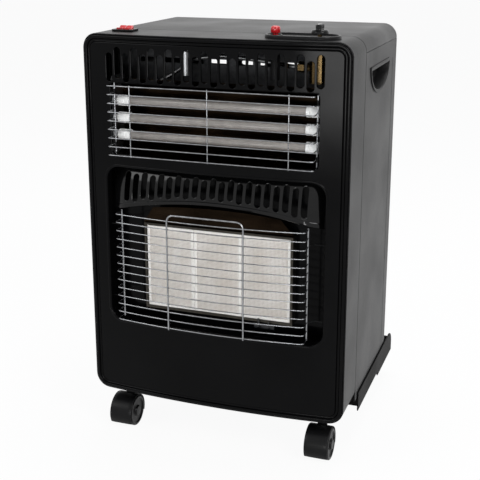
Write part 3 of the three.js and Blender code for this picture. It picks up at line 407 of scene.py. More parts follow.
RIM_SECTION = [
    (-2.3, 1.2), (-2.4, -0.4), (-3, -1.35), (-4.1, -1.6), (-5.6, -1.6), (-6.6, -1.35), (-7.3, -0.5),
    (-7.8, 1.3), (-8.5, 2.3), (-9.6, 2.6), (-11.2, 2.6), (-12.2, 2.2), (-12.9, 0.8),
    (-12.9, 3.2), (-2.3, 3.2),
]
LIP_SECTION = [
    (1.5, 1.6), (1.2, 0.2), (0.2, -0.75), (-1.4, -0.8), (-2.8, 0), (-3.8, 1.6),
    (-4.2, 4.2), (-4.2, 14), (-3.0, 14), (-2.6, 4.6), (-1.0, 3.2),
]


def millimetres(profile):
    return [(first / 1000, second / 1000) for first, second in profile]


def rolled(section, arc, *border):
    loops = [bowed_loop(grow, depth, arc, *border) for grow, depth in millimetres(section)]
    return skinned(loops, ring=True, crease=50)


panel = joined(settled(field, 14), rolled(RIM_SECTION, 12), rolled(LIP_SECTION, 10, *RECESS))
piece("front_panel_pressing", panel, gloss_enamel, "gloss_black_steel", "cabinet", "front_panel")

# ---------- burner chamber and housing ----------
# The recess behind the lower opening is a folded steel box in the front's enamel. The burner's
# own housing, behind it, is aluminised steel that shows as a rim round the plaques.


def grained(name, dark, light, rough, scale, detail=3.0, stretch=(1, 1, 1), relief=None, **sockets):
    """A finish whose colour, gloss and relief follow one fine noise."""
    material, tree, shader = principled(name, **sockets)
    place = tree.nodes.new("ShaderNodeTexCoord")
    stretched = add_node(tree, "ShaderNodeMapping", Scale=stretch)
    grain = add_node(tree, "ShaderNodeTexNoise", Scale=scale, Detail=detail)
    linked(tree, (place, "Object", stretched, "Vector"), (stretched, "Vector", grain, "Vector"))
    toned(tree, shader, grain.outputs["Fac"], dark, light, rough)
    if relief:
        bump = add_node(tree, "ShaderNodeBump", Strength=relief[0], Distance=relief[1])
        linked(tree, (grain, "Fac", bump, "Height"), (bump, "Normal", shader, "Normal"))
    return material


def metal(name, dark, light, rough, scale, stretch=(1, 1, 1)):
    return grained(name, dark, light, rough, scale, stretch=stretch, relief=(0.15, 0.00005), Metallic=1.0)


aluminised = metal("aluminised steel", (0.035, 0.032, 0.027), (0.06, 0.055, 0.047), (0.3, 0.5), 220)
zinc_plate = metal("zinc plate", (0.32, 0.33, 0.34), (0.45, 0.46, 0.47), (0.28, 0.45), 180)
dark_steel_and_shade = metal("dark sheet steel and painted shade", (0.035, 0.036, 0.038), (0.07, 0.071, 0.074), (0.4, 0.55), 120)
dressed(gloss_enamel, "burner_chamber")
dressed(aluminised, "burner_housing")
# The heat shield wears this dark steel over its own zinc: painted shade for the dim inside of the cabinet
# seen through the louvres.
dressed(dark_steel_and_shade, "heat_shield", "pilot_burner")
dressed(zinc_plate, "tilt_switch")

# ---------- ceramic plaques ----------
# Three pressed ceramic tiles stand side by side in the housing. A plain border surrounds a
# field of fine flame holes, set closely in rows.

HOLE_PITCH, PLAQUE_RIM, FIELD_SINK = 0.0021, 0.0042, 0.0009


def plaque_ceramic():
    material, tree, shader = principled("plaque ceramic", Roughness=0.9, Specular_IOR_Level=0.2)
    place = tree.nodes.new("ShaderNodeTexCoord")
    apart = tree.nodes.new("ShaderNodeSeparateXYZ")
    tree.links.new(place.outputs["Object"], apart.inputs[0])
    waves = []
    for axis in ("X", "Z"):
        turns = math_node(tree, "MULTIPLY", apart.outputs[axis], 2 * math.pi / HOLE_PITCH)
        waves.append(math_node(tree, "COSINE", turns))
    # The hole mask pulls the base colour towards a dull brown at each flame hole: painted shade inside the
    # holes. The same mask dents the surface.
    hole = ranged(tree, math_node(tree, "ADD", *waves), 0.0, 1.0, 0.25, 0.95)
    stain = add_node(tree, "ShaderNodeTexNoise", Scale=38.0, Detail=4.0)
    mix = tree.nodes.new("ShaderNodeMix")
    mix.data_type = "RGBA"
    mix.inputs["B"].default_value = (0.36, 0.31, 0.26, 1)
    body = two_tone(tree, stain.outputs["Fac"], (0.74, 0.69, 0.63), (0.88, 0.85, 0.81))
    tree.links.new(hole, mix.inputs["Factor"])
    tree.links.new(body, mix.inputs["A"])
    dent = add_node(tree, "ShaderNodeBump", Strength=0.8, Distance=0.0008)
    dent.invert = True
    tree.links.new(hole, dent.inputs["Height"])
    linked(
        tree, (place, "Object", stain, "Vector"), (mix, "Result", shader, "Base Color"),
        (dent, "Normal", shader, "Normal"),
    )
    return material


def speckled(name, dark, light, rough, scale, specular=0.5, relief=(0.1, 0.0002)):
    return grained(name, dark, light, rough, scale, relief=relief, Specular_IOR_Level=specular)


def block(low, high, roll, levels=2):
    body = bmesh.new()
    bmesh.ops.create_cube(body, size=1)
    for vert in body.verts:
        for axis in range(3):
            vert.co[axis] = low[axis] if vert.co[axis] < 0 else high[axis]
    bmesh.ops.bevel(body, geom=body.edges[:], offset=roll, segments=levels, affect="EDGES", profile=0.5)
    return settled(body, 40)


def plaque_tile(low, high):
    rim = PLAQUE_RIM
    borders = [
        (low.x, high.x, low.z, low.z + rim), (low.x, high.x, high.z - rim, high.z),
        (low.x, low.x + rim, low.z + rim, high.z - rim), (high.x - rim, high.x, low.z + rim, high.z - rim),
    ]
    parts = [block((low.x, low.y + FIELD_SINK, low.z), high, 0.0005)]
    parts += [block((x0, low.y, z0), (x1, low.y + 0.0025, z1), 0.0004) for x0, x1, z0, z1 in borders]
    return joined(*parts)


flame_field = plaque_ceramic()
plain_ceramic = speckled("plain plaque ceramic", (0.8, 0.77, 0.72), (0.9, 0.88, 0.85), (0.8, 0.95), 400, 0.2)
for number in (1, 2, 3):
    node = f"ceramic_plaque_{number}"
    low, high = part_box(node)
    tile = plaque_tile(low, high)
    piece(f"plaque_tile_{number}", tile, flame_field, "plaque_ceramic", "cabinet", node)
    tile.materials.append(plain_ceramic)
    for polygon in tile.polygons:
        x, z = polygon.center.x, polygon.center.z
        inside = low.x + PLAQUE_RIM < x < high.x - PLAQUE_RIM and low.z + PLAQUE_RIM < z < high.z - PLAQUE_RIM
        polygon.material_index = 0 if inside and polygon.normal.y < -0.5 else 1

# ---------- hood and deflector ----------
# The enamelled hood over the burner is pressed to lean forward, with slots along its top, a
# hem along its arched edge and ends that curl back. Below it a heat-tinted plate throws the
# burner's heat forward; its near-black colour is part heat tint and part painted shade under the hood.

HOOD_HALF, HOOD_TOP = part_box("burner_hood")[1].x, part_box("burner_hood")[1].z
HOOD_SLOTS, HOOD_SLOT_WIDTH, HOOD_SLOT_TOP, HOOD_STAGGER = 21, 0.0094, 0.442, 0.003
HOOD_MIDDLE_LOW, HOOD_ARCH, HOOD_LEAN, HOOD_BOW_SHARE = 0.405, 0.023, 0.018, 0.35
HOOD_CURL, HOOD_CURL_START = 0.013, 0.82
BLANK_HEIGHT, HEM_STEPS = 0.06, 60
HEM_SECTION = [(0, 0), (0.012, -0.0009), (0.09, -0.0011), (0.105, -0.0002), (0.105, 0.0004), (0, 0.0012)]
hood_enamel = coated(
    "hood enamel", (0.001, 0.001, 0.0011), (0.003, 0.003, 0.0032), (0.07, 0.14), 600, 0.05, 0.24
)


def hood_edge(x):
    return HOOD_MIDDLE_LOW - HOOD_ARCH * (x / HOOD_HALF) ** 2


def hood_point(x, height, out_by):
    across = min(abs(x) / HOOD_HALF, 1)
    curl = HOOD_CURL * max(0, (across - HOOD_CURL_START) / (1 - HOOD_CURL_START)) ** 2
    lean = HOOD_LEAN * max(height, 0) ** 2.2 + 0.0015 * height
    low = hood_edge(x)
    y = FRONT - 0.002 + bow_at(x) * HOOD_BOW_SHARE + lean + curl + out_by
    return (x, y, low + (HOOD_TOP - low) * height)


def hood_sheet():
    slots = []
    for i in range(HOOD_SLOTS):
        x = (i - (HOOD_SLOTS - 1) / 2) * SLOT_PITCH
        raised = 0 if i % 2 else HOOD_STAGGER
        low = hood_edge(x)
        slot = slot_points(x, low + 0.008 + raised, HOOD_SLOT_TOP + raised, HOOD_SLOT_WIDTH)
        slots.append([(u, (v - low) / (HOOD_TOP - low) * BLANK_HEIGHT) for u, v in slot])
    rim = [(-HOOD_HALF, 0.0), (HOOD_HALF, 0.0), (HOOD_HALF, BLANK_HEIGHT), (-HOOD_HALF, BLANK_HEIGHT)]
    sheet = punched(rim, slots, 0.0014, 0.0006)
    sliced(sheet, 0, -HOOD_HALF, HOOD_HALF, HOOD_HALF / 30)
    sliced(sheet, 1, 0, BLANK_HEIGHT, BLANK_HEIGHT / 8)
    for vert in sheet.verts:
        u, v, w = vert.co
        vert.co = hood_point(u, v / BLANK_HEIGHT, 0.0009 - w)
    return settled(sheet, 18)


hem = []
for step in range(HEM_STEPS + 1):
    x = HOOD_HALF * (2 * step / HEM_STEPS - 1)
    hem.append([hood_point(x, height, back) for height, back in HEM_SECTION])
hood = joined(hood_sheet(), skinned(hem, capped=True, crease=40))
piece("hood_pressing", hood, hood_enamel, "gloss_black_steel", "cabinet", "burner_hood")

DEFLECTOR_LOW, DEFLECTOR_HIGH, DEFLECTOR_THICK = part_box("heat_deflector")[0].z, 0.39, 0.0011
DEFLECTOR_Y, DEFLECTOR_HALF, DEFLECTOR_TAPER, DEFLECTOR_ARCH = heater_y(0.017), 0.124, 0.02, 0.006
heat_tint_and_shade = metal(
    "heat tinted steel and painted shade", (0.005, 0.0032, 0.002), (0.019, 0.012, 0.007), (0.16, 0.3), 14, stretch=(1, 1, 2.5)
)


def deflector_line(v, back):
    line = []
    for step in range(41):
        t = step / 20 - 1
        belly = 1 - t * t
        y = DEFLECTOR_Y - (0.008 + 0.002 * belly) * v + back
        rise = DEFLECTOR_HIGH + DEFLECTOR_ARCH * belly - DEFLECTOR_LOW
        line.append((t * (DEFLECTOR_HALF - DEFLECTOR_TAPER * v), y, DEFLECTOR_LOW + rise * v))
    return line


rows = [deflector_line(i / 8, 0) + deflector_line(i / 8, DEFLECTOR_THICK)[::-1] for i in range(9)]
piece("deflector_plate", skinned(rows, capped=True), heat_tint_and_shade, "bronzed_steel", "cabinet", "heat_deflector")

# ---------- electric elements ----------
# Three frosted quartz tubes, each with a coiled wire inside, plug into glazed ceramic caps held
# by two end brackets. A folded, polished reflector stands behind them.

TUBE_ROLL = 0.0006
COIL_TURNS, COIL_RADIUS, COIL_WIRE, COIL_SHARE = 92.0, 0.0037, 0.0004, 0.925
CAP_PROFILE = [
    (0, 8.3), (6.9, 8.3), (6.9, 0.4), (7.4, 0), (7.9, 0), (8.5, 0.6), (8.5, 5.5), (7.8, 6.2), (7.8, 7.6),
    (8.5, 8.3), (8.5, 19.2), (7.7, 20), (4.2, 20), (4.2, 32.5), (3.7, 33), (0, 33),
]
glazed = speckled("glazed ceramic", (0.82, 0.82, 0.8), (0.9, 0.9, 0.88), (0.25, 0.4), 120)
frosted = grained(
    "frosted quartz", (0.5, 0.46, 0.43), (0.66, 0.62, 0.58), None, 90, 5,
    Roughness=0.28, IOR=1.45, Transmission_Weight=0.55,
)
coil_wire = metal("resistance wire", (0.2, 0.17, 0.15), (0.32, 0.28, 0.25), (0.35, 0.5), 300)
# The reflector wears the same near-black heat tint: part heat tint, part painted shade behind the tubes.
dressed(heat_tint_and_shade, "element_reflector")
dressed(zinc_plate, "element_bracket_left", "element_bracket_right")


def turned(profile, centre, axis="Z", sides=48, crease=35):
    """A turned shape from radius and height pairs, on an axis through a centre."""
    loops = []
    for radius, height in profile:
        loop = []
        for a, b in swept_arc(0, 0, radius, 0, 2, sides)[:-1]:
            spot = {"Z": (a, b, height), "X": (height, a, b), "Y": (a, height, b)}[axis]
            loop.append(tuple(Vector(spot) + Vector(centre)))
        loops.append(loop)
    return skinned(loops, crease=crease)


def wire_tree(name, values):
    """A Geometry Nodes tree that ends in real, finished wire, and the nodes to build it from."""
    tree = bpy.data.node_groups.new(name, "GeometryNodeTree")
    given = with_sockets(tree, "INPUT", {"Geometry": "Geometry", **values, "Finish": "Material"})
    gives = with_sockets(tree, "OUTPUT", {"Geometry": "Geometry"})
    section = tree.nodes.new("GeometryNodeCurvePrimitiveCircle")
    swept = add_node(tree, "GeometryNodeCurveToMesh", Fill_Caps=True)
    real = tree.nodes.new("GeometryNodeRealizeInstances")
    coat = tree.nodes.new("GeometryNodeSetMaterial")
    linked(
        tree, (section, "Curve", swept, "Profile Curve"), (real, "Geometry", coat, "Geometry"),
        (given, "Finish", coat, "Material"), (coat, "Geometry", gives, "Geometry"),
    )
    return tree, given, section, swept, real


coil_inputs = ("Turns", "Length", "Coil radius", "Wire radius")
coil_tree, given, section, swept, real = wire_tree("wound wire", dict.fromkeys(coil_inputs, "Float"))
spiral = add_node(coil_tree, "GeometryNodeCurveSpiral", Resolution=9)
section.inputs["Resolution"].default_value = 5
linked(
    coil_tree, (given, "Turns", spiral, "Rotations"), (given, "Length", spiral, "Height"),
    (given, "Coil radius", spiral, "Start Radius"), (given, "Coil radius", spiral, "End Radius"),
    (given, "Wire radius", section, "Radius"), (spiral, "Curve", swept, "Curve"),
    (swept, "Mesh", real, "Geometry"),
)


def grown(tree, base, **values):
    """The plain mesh that a Geometry Nodes tree makes from a base mesh."""
    holder = added("seed", base)
    modifier = holder.modifiers.new("nodes", "NODES")
    modifier.node_group = tree
    sockets = {item.name: item.identifier for item in tree.interface.items_tree if item.in_out == "INPUT"}
    for label, value in values.items():
        modifier[sockets[label.replace("_", " ")]] = value
    bpy.context.view_layer.update()
    mesh = evaluated(holder)
    mesh.shade_smooth()
    return mesh


for number in (1, 2, 3):
    low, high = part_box(f"quartz_tube_{number}")
    middle = (low + high) / 2
    radius, half = (high.z - low.z) / 2, (high.x - low.x) / 2
    wall = [(0, -half), (radius - TUBE_ROLL, -half), (radius, TUBE_ROLL - half)]
    wall += [(r, -x) for r, x in reversed(wall)]
    tube = turned(wall, middle, "X", 36, crease=50)
    piece(f"quartz_glass_{number}", tube, frosted, "quartz", "cabinet", f"quartz_tube_{number}")
    reach = half * COIL_SHARE
    coil = grown(
        coil_tree, bpy.data.meshes.new("seed"), Turns=COIL_TURNS, Length=2 * reach,
        Coil_radius=COIL_RADIUS, Wire_radius=COIL_WIRE, Finish=coil_wire,
    )
    lying = Matrix.Rotation(math.pi / 2, 4, "Y") @ Matrix.Translation((0, 0, -reach))
    coil.transform(Matrix.Translation(middle) @ lying)
    piece(f"element_coil_{number}", coil, coil_wire, "zinc_steel", "cabinet")
    for side, word in ((-1, "left"), (1, "right")):
        node = f"tube_cap_{number}_{word}"
        low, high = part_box(node)
        start = low.x if side > 0 else high.x
        profile = [(r, start + side * h) for r, h in millimetres(CAP_PROFILE)]
        cap = turned(profile, (0, middle.y, (low.z + high.z) / 2), "X", 32)
        piece(f"ceramic_cap_{number}_{word}", cap, glazed, "white_ceramic", "cabinet", node)

# ---------- wire guards ----------
# Chromed wire grilles, spot welded: nine straight wires stand before the elements, and fourteen
# bowed ones before the burner with a stouter hoop on their front. Black clips and links hold them.

chrome = grained(
    "bright chrome", (0.2, 0.205, 0.215), (0.33, 0.335, 0.345), (0.06, 0.2), 140, 4, Metallic=1.0
)
WIRE_R, RAIL_R = 0.00088, 0.00135

row_inputs = {"Count": "Int", "Pitch": "Float", "Radius": "Float"}
row_tree, given, section, swept, real = wire_tree("row of wires", row_inputs)
section.inputs["Resolution"].default_value = 10
path = row_tree.nodes.new("GeometryNodeMeshToCurve")
step_up = row_tree.nodes.new("ShaderNodeCombineXYZ")
row = row_tree.nodes.new("GeometryNodeMeshLine")
copies = row_tree.nodes.new("GeometryNodeInstanceOnPoints")
linked(
    row_tree, (given, "Geometry", path, "Mesh"), (path, "Curve", swept, "Curve"),
    (given, "Radius", section, "Radius"), (given, "Pitch", step_up, "Z"), (given, "Count", row, "Count"),
    (step_up, "Vector", row, "Offset"), (row, "Mesh", copies, "Points"),
    (swept, "Mesh", copies, "Instance"), (copies, "Instances", real, "Geometry"),
)


def rounded_path(corners, radius, steps=5):
    corners = [Vector(corner) for corner in corners]
    points = [corners[0]]
    for before, corner, after in zip(corners, corners[1:], corners[2:]):
        back, ahead = before - corner, after - corner
        room = min(radius, back.length * 0.45, ahead.length * 0.45)
        start, end = corner + back.normalized() * room, corner + ahead.normalized() * room
        for i in range(steps + 1):
            t = i / steps
            points.append(start * (1 - t) ** 2 + corner * 2 * t * (1 - t) + end * t * t)
    return points + [corners[-1]]


def wires(points, radius, count=1, pitch=0.0, finish=chrome):
    line = bpy.data.meshes.new("path")
    line.from_pydata([tuple(point) for point in points], [(i, i + 1) for i in range(len(points) - 1)], [])
    return grown(row_tree, line, Count=count, Pitch=pitch, Radius=radius, Finish=finish)


def upright(x, y, low, high, radius):
    return wires([(x, y, low), (x, y, (low + high) / 2), (x, y, high)], radius)


def weld(place, size):
    body = bmesh.new()
    bmesh.ops.create_uvsphere(body, u_segments=8, v_segments=5, radius=1)
    for vert in body.verts:
        vert.co = Vector(place) + Vector([vert.co[axis] * size[axis] for axis in range(3)])
    return settled(body, 60)


def crossing_wires(half, low, count, pitch, front_y, bow, rail_y):
    """A row of level wires, each bent back to the side rails at both ends."""
    ends = [(half - 0.002, rail_y, low), (half, front_y, low)]
    ends = [(-x, y, z) for x, y, z in ends] + ends[::-1]
    points = rounded_path(ends, 0.006)
    middle = len(points) // 2
    start, end = points[middle - 1].x, points[middle].x
    across = [Vector((start + (end - start) * i / 24, front_y, low)) for i in range(1, 24)]
    points = points[:middle] + across + points[middle:]
    for point in points:
        point.y -= bow * (1 - (point.x / half) ** 2)
    return wires(points, WIRE_R, count, pitch)


UPPER_COUNT, UPPER_LOW, UPPER_PITCH = 9, 0.476, 0.01325
UPPER_Y, UPPER_RAIL_Y = heater_y(-0.024), heater_y(0.001)
UPPER_HALF, UPPER_RAIL_X = 0.162, 0.16
UPPER_ENDS, UPPER_UPRIGHTS = (0.4742, 0.5838), (-0.124, 0, 0.124)
parts = [crossing_wires(UPPER_HALF, UPPER_LOW, UPPER_COUNT, UPPER_PITCH, UPPER_Y, 0, UPPER_RAIL_Y)]
for x in UPPER_UPRIGHTS:
    parts.append(upright(x, UPPER_Y + 1.7 * WIRE_R, *UPPER_ENDS, WIRE_R))
    for i in range(UPPER_COUNT):
        parts.append(weld((x, UPPER_Y + 0.0009, UPPER_LOW + UPPER_PITCH * i), (0.0014, 0.0012, 0.0012)))
for x in (-UPPER_RAIL_X, UPPER_RAIL_X):
    parts.append(upright(x, UPPER_RAIL_Y, *UPPER_ENDS, RAIL_R))
piece("upper_wire_guard", joined(*parts), chrome, "chrome_wire", "cabinet", "upper_guard")


def mirrored(mesh):
    other = mesh.copy()
    other.transform(Matrix.Scale(-1, 4, (1, 0, 0)))
    other.flip_normals()
    return other


CLIP_LEVELS, CLIP_HEIGHT, CLIP_X, CLIP_END = (0.484, 0.566), 0.008, 0.1605, 0.171


def guard_clip(z):
    top = z + CLIP_HEIGHT
    tab = block((CLIP_X + 0.0027, UPPER_RAIL_Y - 0.0012, z), (CLIP_END, UPPER_RAIL_Y - 0.0002, top), 0.0003)
    ring = [(0.0016, z), (0.0023, z), (0.0023, top), (0.0016, top)]
    return joined(tab, turned(ring, (CLIP_X, UPPER_RAIL_Y, 0), sides=16))


clips = [guard_clip(z) for z in CLIP_LEVELS]
clips = [mirrored(clip) for clip in clips] + clips
piece("guard_clips", joined(*clips), powder_coat, "satin_black_steel", "cabinet")

LOWER_COUNT, LOWER_LOW, LOWER_PITCH = 14, 0.211, 0.173 / 13
LOWER_Y, LOWER_RAIL_Y, LOWER_BOW = heater_y(-0.026), heater_y(-0.0052), 0.012
LOWER_HALF, LOWER_ENDS = 0.153, (0.2092, 0.3858)
LINK_LEVELS, LINK_END, LINK_Y = (0.237, 0.358), 0.1745, heater_y(0.006)
HOOP_X, HOOP_LOW, HOOP_HIGH = 0.061, 0.209, 0.394
parts = [crossing_wires(LOWER_HALF, LOWER_LOW, LOWER_COUNT, LOWER_PITCH, LOWER_Y, LOWER_BOW, LOWER_RAIL_Y)]
links = []
wire_y = LOWER_Y - LOWER_BOW * (1 - (HOOP_X / LOWER_HALF) ** 2)
hoop_y = wire_y - WIRE_R - RAIL_R + 0.0008
hoop = [(-HOOP_X, HOOP_LOW), (-HOOP_X, HOOP_HIGH), (HOOP_X, HOOP_HIGH), (HOOP_X, HOOP_LOW)]
parts.append(wires(rounded_path([(x, hoop_y, z) for x, z in hoop], 0.012, 8), RAIL_R))
for side in (-1, 1):
    for i in range(LOWER_COUNT):
        place = (side * HOOP_X, wire_y - 0.0009, LOWER_LOW + LOWER_PITCH * i)
        parts.append(weld(place, (0.0017, 0.0012, 0.0013)))
    x = side * (LOWER_HALF - 0.002)
    parts.append(upright(x, LOWER_RAIL_Y, *LOWER_ENDS, RAIL_R))
    for z in LINK_LEVELS:
        route = [(x, LOWER_RAIL_Y, z), (x + side * 0.009, LINK_Y, z), (side * LINK_END, LINK_Y, z)]
        links.append(wires(rounded_path(route, 0.004), WIRE_R, finish=powder_coat))
piece("lower_wire_guard", joined(*parts), chrome, "chrome_wire", "cabinet", "lower_guard")
piece("guard_links", joined(*links), powder_coat, "satin_black_steel", "cabinet")

# ---------- cabinet sheets ----------
# The rear cabinet is powder coated sheet: an arched top cover and two sides, each with a long
# pressed groove near its rear edge.

COVER_START, COVER_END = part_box("top_cover")
REAR_START, REAR_END, SIDE_TOP = COVER_START.y, COVER_END.y, COVER_START.z
COVER_THICK = 0.002
ARCH_STEPS, ARCH_RUNS = 14, 12


def arch_loop(y, inset):
    """The top cover's section: its outer line, then its inner line back again."""
    points = []
    bend_x, bend_z = HALF - CORNER, TOP - CORNER
    for depth, order in ((inset, 1), (COVER_THICK - inset, -1)):
        half_line = [(HALF - depth, SIDE_TOP + inset)]
        half_line += swept_arc(bend_x, bend_z, CORNER - depth, 0, 0.5, ARCH_STEPS)
        level = [(bend_x * (1 - 2 * i / ARCH_RUNS), TOP - depth) for i in range(1, ARCH_RUNS)]
        line = half_line + level + [(-x, z) for x, z in reversed(half_line)]
        points += [(x, y, z) for x, z in line[::order]]
    return points


top_skin = skinned([arch_loop(y, inset) for y, inset in [
    (REAR_START, 0.0006), (REAR_START + 0.0006, 0), (REAR_END - 0.0012, 0), (REAR_END - 0.0004, 0.0003),
    (REAR_END, 0.0009),
]], capped=True)
FOLD_HALF, FOLD_DEPTH = HALF - 0.022, 0.02
fold_low = (-FOLD_HALF, REAR_END - 0.002, TOP - FOLD_DEPTH)
rear_fold = block(fold_low, (FOLD_HALF, REAR_END - 0.0002, TOP - 0.0012), 0.0004)
piece("top_sheet", joined(top_skin, rear_fold), powder_coat, "satin_black_steel", "cabinet", "top_cover")

GROOVE_Y, GROOVE_LOW, GROOVE_HIGH = heater_y(0.28), 0.0892, 0.6048
GROOVE_WIDTH = 0.0096
GROOVE_SECTION = [(0.4, -0.2), (-0.2, -0.5), (-1.2, -1.6), (-2.2, -3.6), (-3.4, -4.3), (-4.6, -4.5)]
GRIP_Y, GRIP_Z, GRIP_HALF, GRIP_DROP = heater_y(0.184), 0.604, 0.068, 0.039
GRIP_MIDDLE, GRIP_ARC = 0.59, 28


def grip_outline(grow):
    wide, deep = GRIP_HALF + grow, GRIP_DROP + 2 * grow
    return [(GRIP_Y + wide * u, GRIP_Z + grow + deep * v) for u, v in swept_arc(0, 0, 1, 1, 1, GRIP_ARC)]


def groove_outline(grow):
    return slot_points(GROOVE_Y, GROOVE_LOW - grow, GROOVE_HIGH + grow, GROOVE_WIDTH + 2 * grow, 10)


def side_sheet():
    low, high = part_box("side_panel_right")
    rim = outline((high.y - low.y) / 2, low.z, high.z, 0.0008, 3, 2, centre=(low.y + high.y) / 2)
    sheet = settled(punched(rim, [grip_outline(0), groove_outline(0)], 0.002, 0.0005), 14)
    sheet.transform(Matrix(((0, 0, 1, HALF - 0.001), (1, 0, 0, 0), (0, 1, 0, 0), (0, 0, 0, 1))))
    outer = []
    for grow, depth in millimetres(GROOVE_SECTION):
        outer.append([(HALF + depth, u, v) for u, v in groove_outline(grow)])
    inner = [[(x - 0.0012, y, z) for x, y, z in row] for row in reversed(outer)]
    trough = skinned(outer + inner, capped=True, crease=60)
    outer_x, top = HALF - 0.0012, high.z - 0.004
    front = block((HALF - 0.016, low.y, low.z + 0.025), (outer_x, low.y + 0.002, top), 0.0004)
    rear = block((HALF - 0.018, high.y - 0.002, 0.092), (outer_x, high.y, top), 0.0004)
    return joined(sheet, trough, front, rear)


right_sheet = side_sheet()
for word, mesh in (("left", mirrored(right_sheet)), ("right", right_sheet)):
    piece(f"{word}_side_sheet", mesh, powder_coat, "satin_black_steel", "cabinet", f"side_panel_{word}")

# ---------- hand grips ----------
# Moulded half-moon cups snap into the sides. Their lip stands a little proud, and the cup is
# deep enough for the fingers under its straight upper edge.

moulded = speckled("moulded black plastic", *SOFT_BLACK, (0.36, 0.48), 1400, 0.16, (0.15, 0.00015))
GRIP_FLOOR, GRIP_FACE = (corner.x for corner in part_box("handle_cup_right"))
LIP_PROFILE = [
    (-1.2, -3.2), (3.6, -1.3), (4, -0.8), (3.6, -0.2), (2.6, 0), (-0.6, 0), (-1.6, -0.4), (-2.2, -1.6),
]
CUP_PROFILE = [(-3.6, 5), (-5, 2.8), (-8, 2)]


def grip_loop(grow, x, shrink=1.0):
    points = grip_outline(grow)
    start, end = points[0], points[-1]
    points += [(end[0] + (start[0] - end[0]) * i / 6, end[1]) for i in range(1, 6)]
    return [(x, (u - GRIP_Y) * shrink + GRIP_Y, (v - GRIP_MIDDLE) * shrink + GRIP_MIDDLE) for u, v in points]


def grip_cup():
    front = [grip_loop(grow, GRIP_FACE + x) for grow, x in millimetres(LIP_PROFILE)]
    front += [grip_loop(grow, GRIP_FLOOR + x) for grow, x in millimetres(CUP_PROFILE)]
    front.append(grip_loop(-0.008, GRIP_FLOOR + 0.002, 0.02))
    back = [front[0], grip_loop(-0.0012, GRIP_FLOOR + 0.003), grip_loop(-0.004, GRIP_FLOOR)]
    back.append(grip_loop(-0.004, GRIP_FLOOR, 0.02))
    return joined(skinned(front, crease=50), skinned(back, crease=50))


right_cup = grip_cup()
for word, mesh in (("left", mirrored(right_cup)), ("right", right_cup)):
    piece(f"{word}_grip_cup", mesh, moulded, "black_plastic", "cabinet", f"handle_cup_{word}")

# ---------- cylinder tray ----------
# The folded tray under the cabinet carries the gas cylinder: a flat floor with a raised seat
# ring, a low front wall, and stepped side walls that run out behind under the rear cover.

FLAT = ((1, 0, 0, 0), (0, 1, 0, 0), (0, 0, 1, 0), (0, 0, 0, 1))
FACING_SIDE = ((0, 0, 1, 0), (1, 0, 0, 0), (0, 1, 0, 0), (0, 0, 0, 1))
FACING_BACK = ((1, 0, 0, 0), (0, 0, 1, 0), (0, 1, 0, 0), (0, 0, 0, 1))
CASTER_X, CASTER_FRONT, CASTER_REAR = 0.168, 0.04, 0.33
TRAY_FLOOR, TRAY_TOP, TRAY_FOOT = 0.06, 0.084, 0.052
TRAY_STEP, SEAT_Y, TRAY_ROUND, STEM_HOLE = heater_y(0.252), heater_y(0.232), 0.024, 0.0058
SEAT_SECTION = [
    (0, 61.2), (112, 61.2), (111.9, 63.2), (111.3, 64.5), (110.4, 65),
    (109.6, 65), (108.7, 64.5), (108, 63.4), (107.6, 62.5), (0, 62.5),
]
tray_coat = coated(
    "tray coat", (0.002, 0.002, 0.0021), (0.0045, 0.0042, 0.004), (0.42, 0.52), 2200, 0.2, 0.03
)


def plate(rim, holes, low, thick, roll, matrix):
    """A punched plate whose lower face lies at a height along its own thickness."""
    mesh = settled(punched(rim, holes, thick, roll), 14)
    mesh.transform(Matrix(matrix) @ Matrix.Translation((0, 0, low + thick / 2)))
    return mesh


def disc(x, y, radius, sides=24):
    return swept_arc(x, y, radius, 0, 2, sides)[:-1]


def tray():
    low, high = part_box("base_tray")
    side = [(low.y, TRAY_FOOT), (TRAY_STEP - 0.002, TRAY_FOOT), (TRAY_STEP + 0.002, low.z), (high.y, low.z)]
    side += swept_arc(high.y - TRAY_ROUND, TRAY_TOP - TRAY_ROUND, TRAY_ROUND, 0, 0.5, 8)
    side.append((low.y, TRAY_TOP))
    inner = high.x - 0.001
    rim = [(inner, low.y), (inner, high.y), (-inner, high.y), (-inner, low.y)]
    stems = [disc(x, heater_y(CASTER_REAR), STEM_HOLE) for x in (-CASTER_X, CASTER_X)]
    return joined(
        plate(side, [], low.x, 0.002, 0.0005, FACING_SIDE),
        plate(side, [], high.x - 0.002, 0.002, 0.0005, FACING_SIDE),
        plate(rim, stems, TRAY_FLOOR, 0.002, 0.0005, FLAT),
        block((-inner, low.y, TRAY_FLOOR), (inner, low.y + 0.002, TRAY_FLOOR + 0.014), 0.0006),
        block((-inner, high.y - 0.002, low.z + 0.002), (inner, high.y, TRAY_FLOOR + 0.01), 0.0006),
        turned(millimetres(SEAT_SECTION), (0, SEAT_Y, 0), sides=72, crease=50),
    )


piece("tray_sheet", tray(), tray_coat, "satin_black_steel", "cabinet", "base_tray")

# ---------- rear cover ----------
# A pressed steel pan closes the cylinder bay. It has a flanged rim, rounded shoulders and four
# rows of vents, and lifts off upwards.

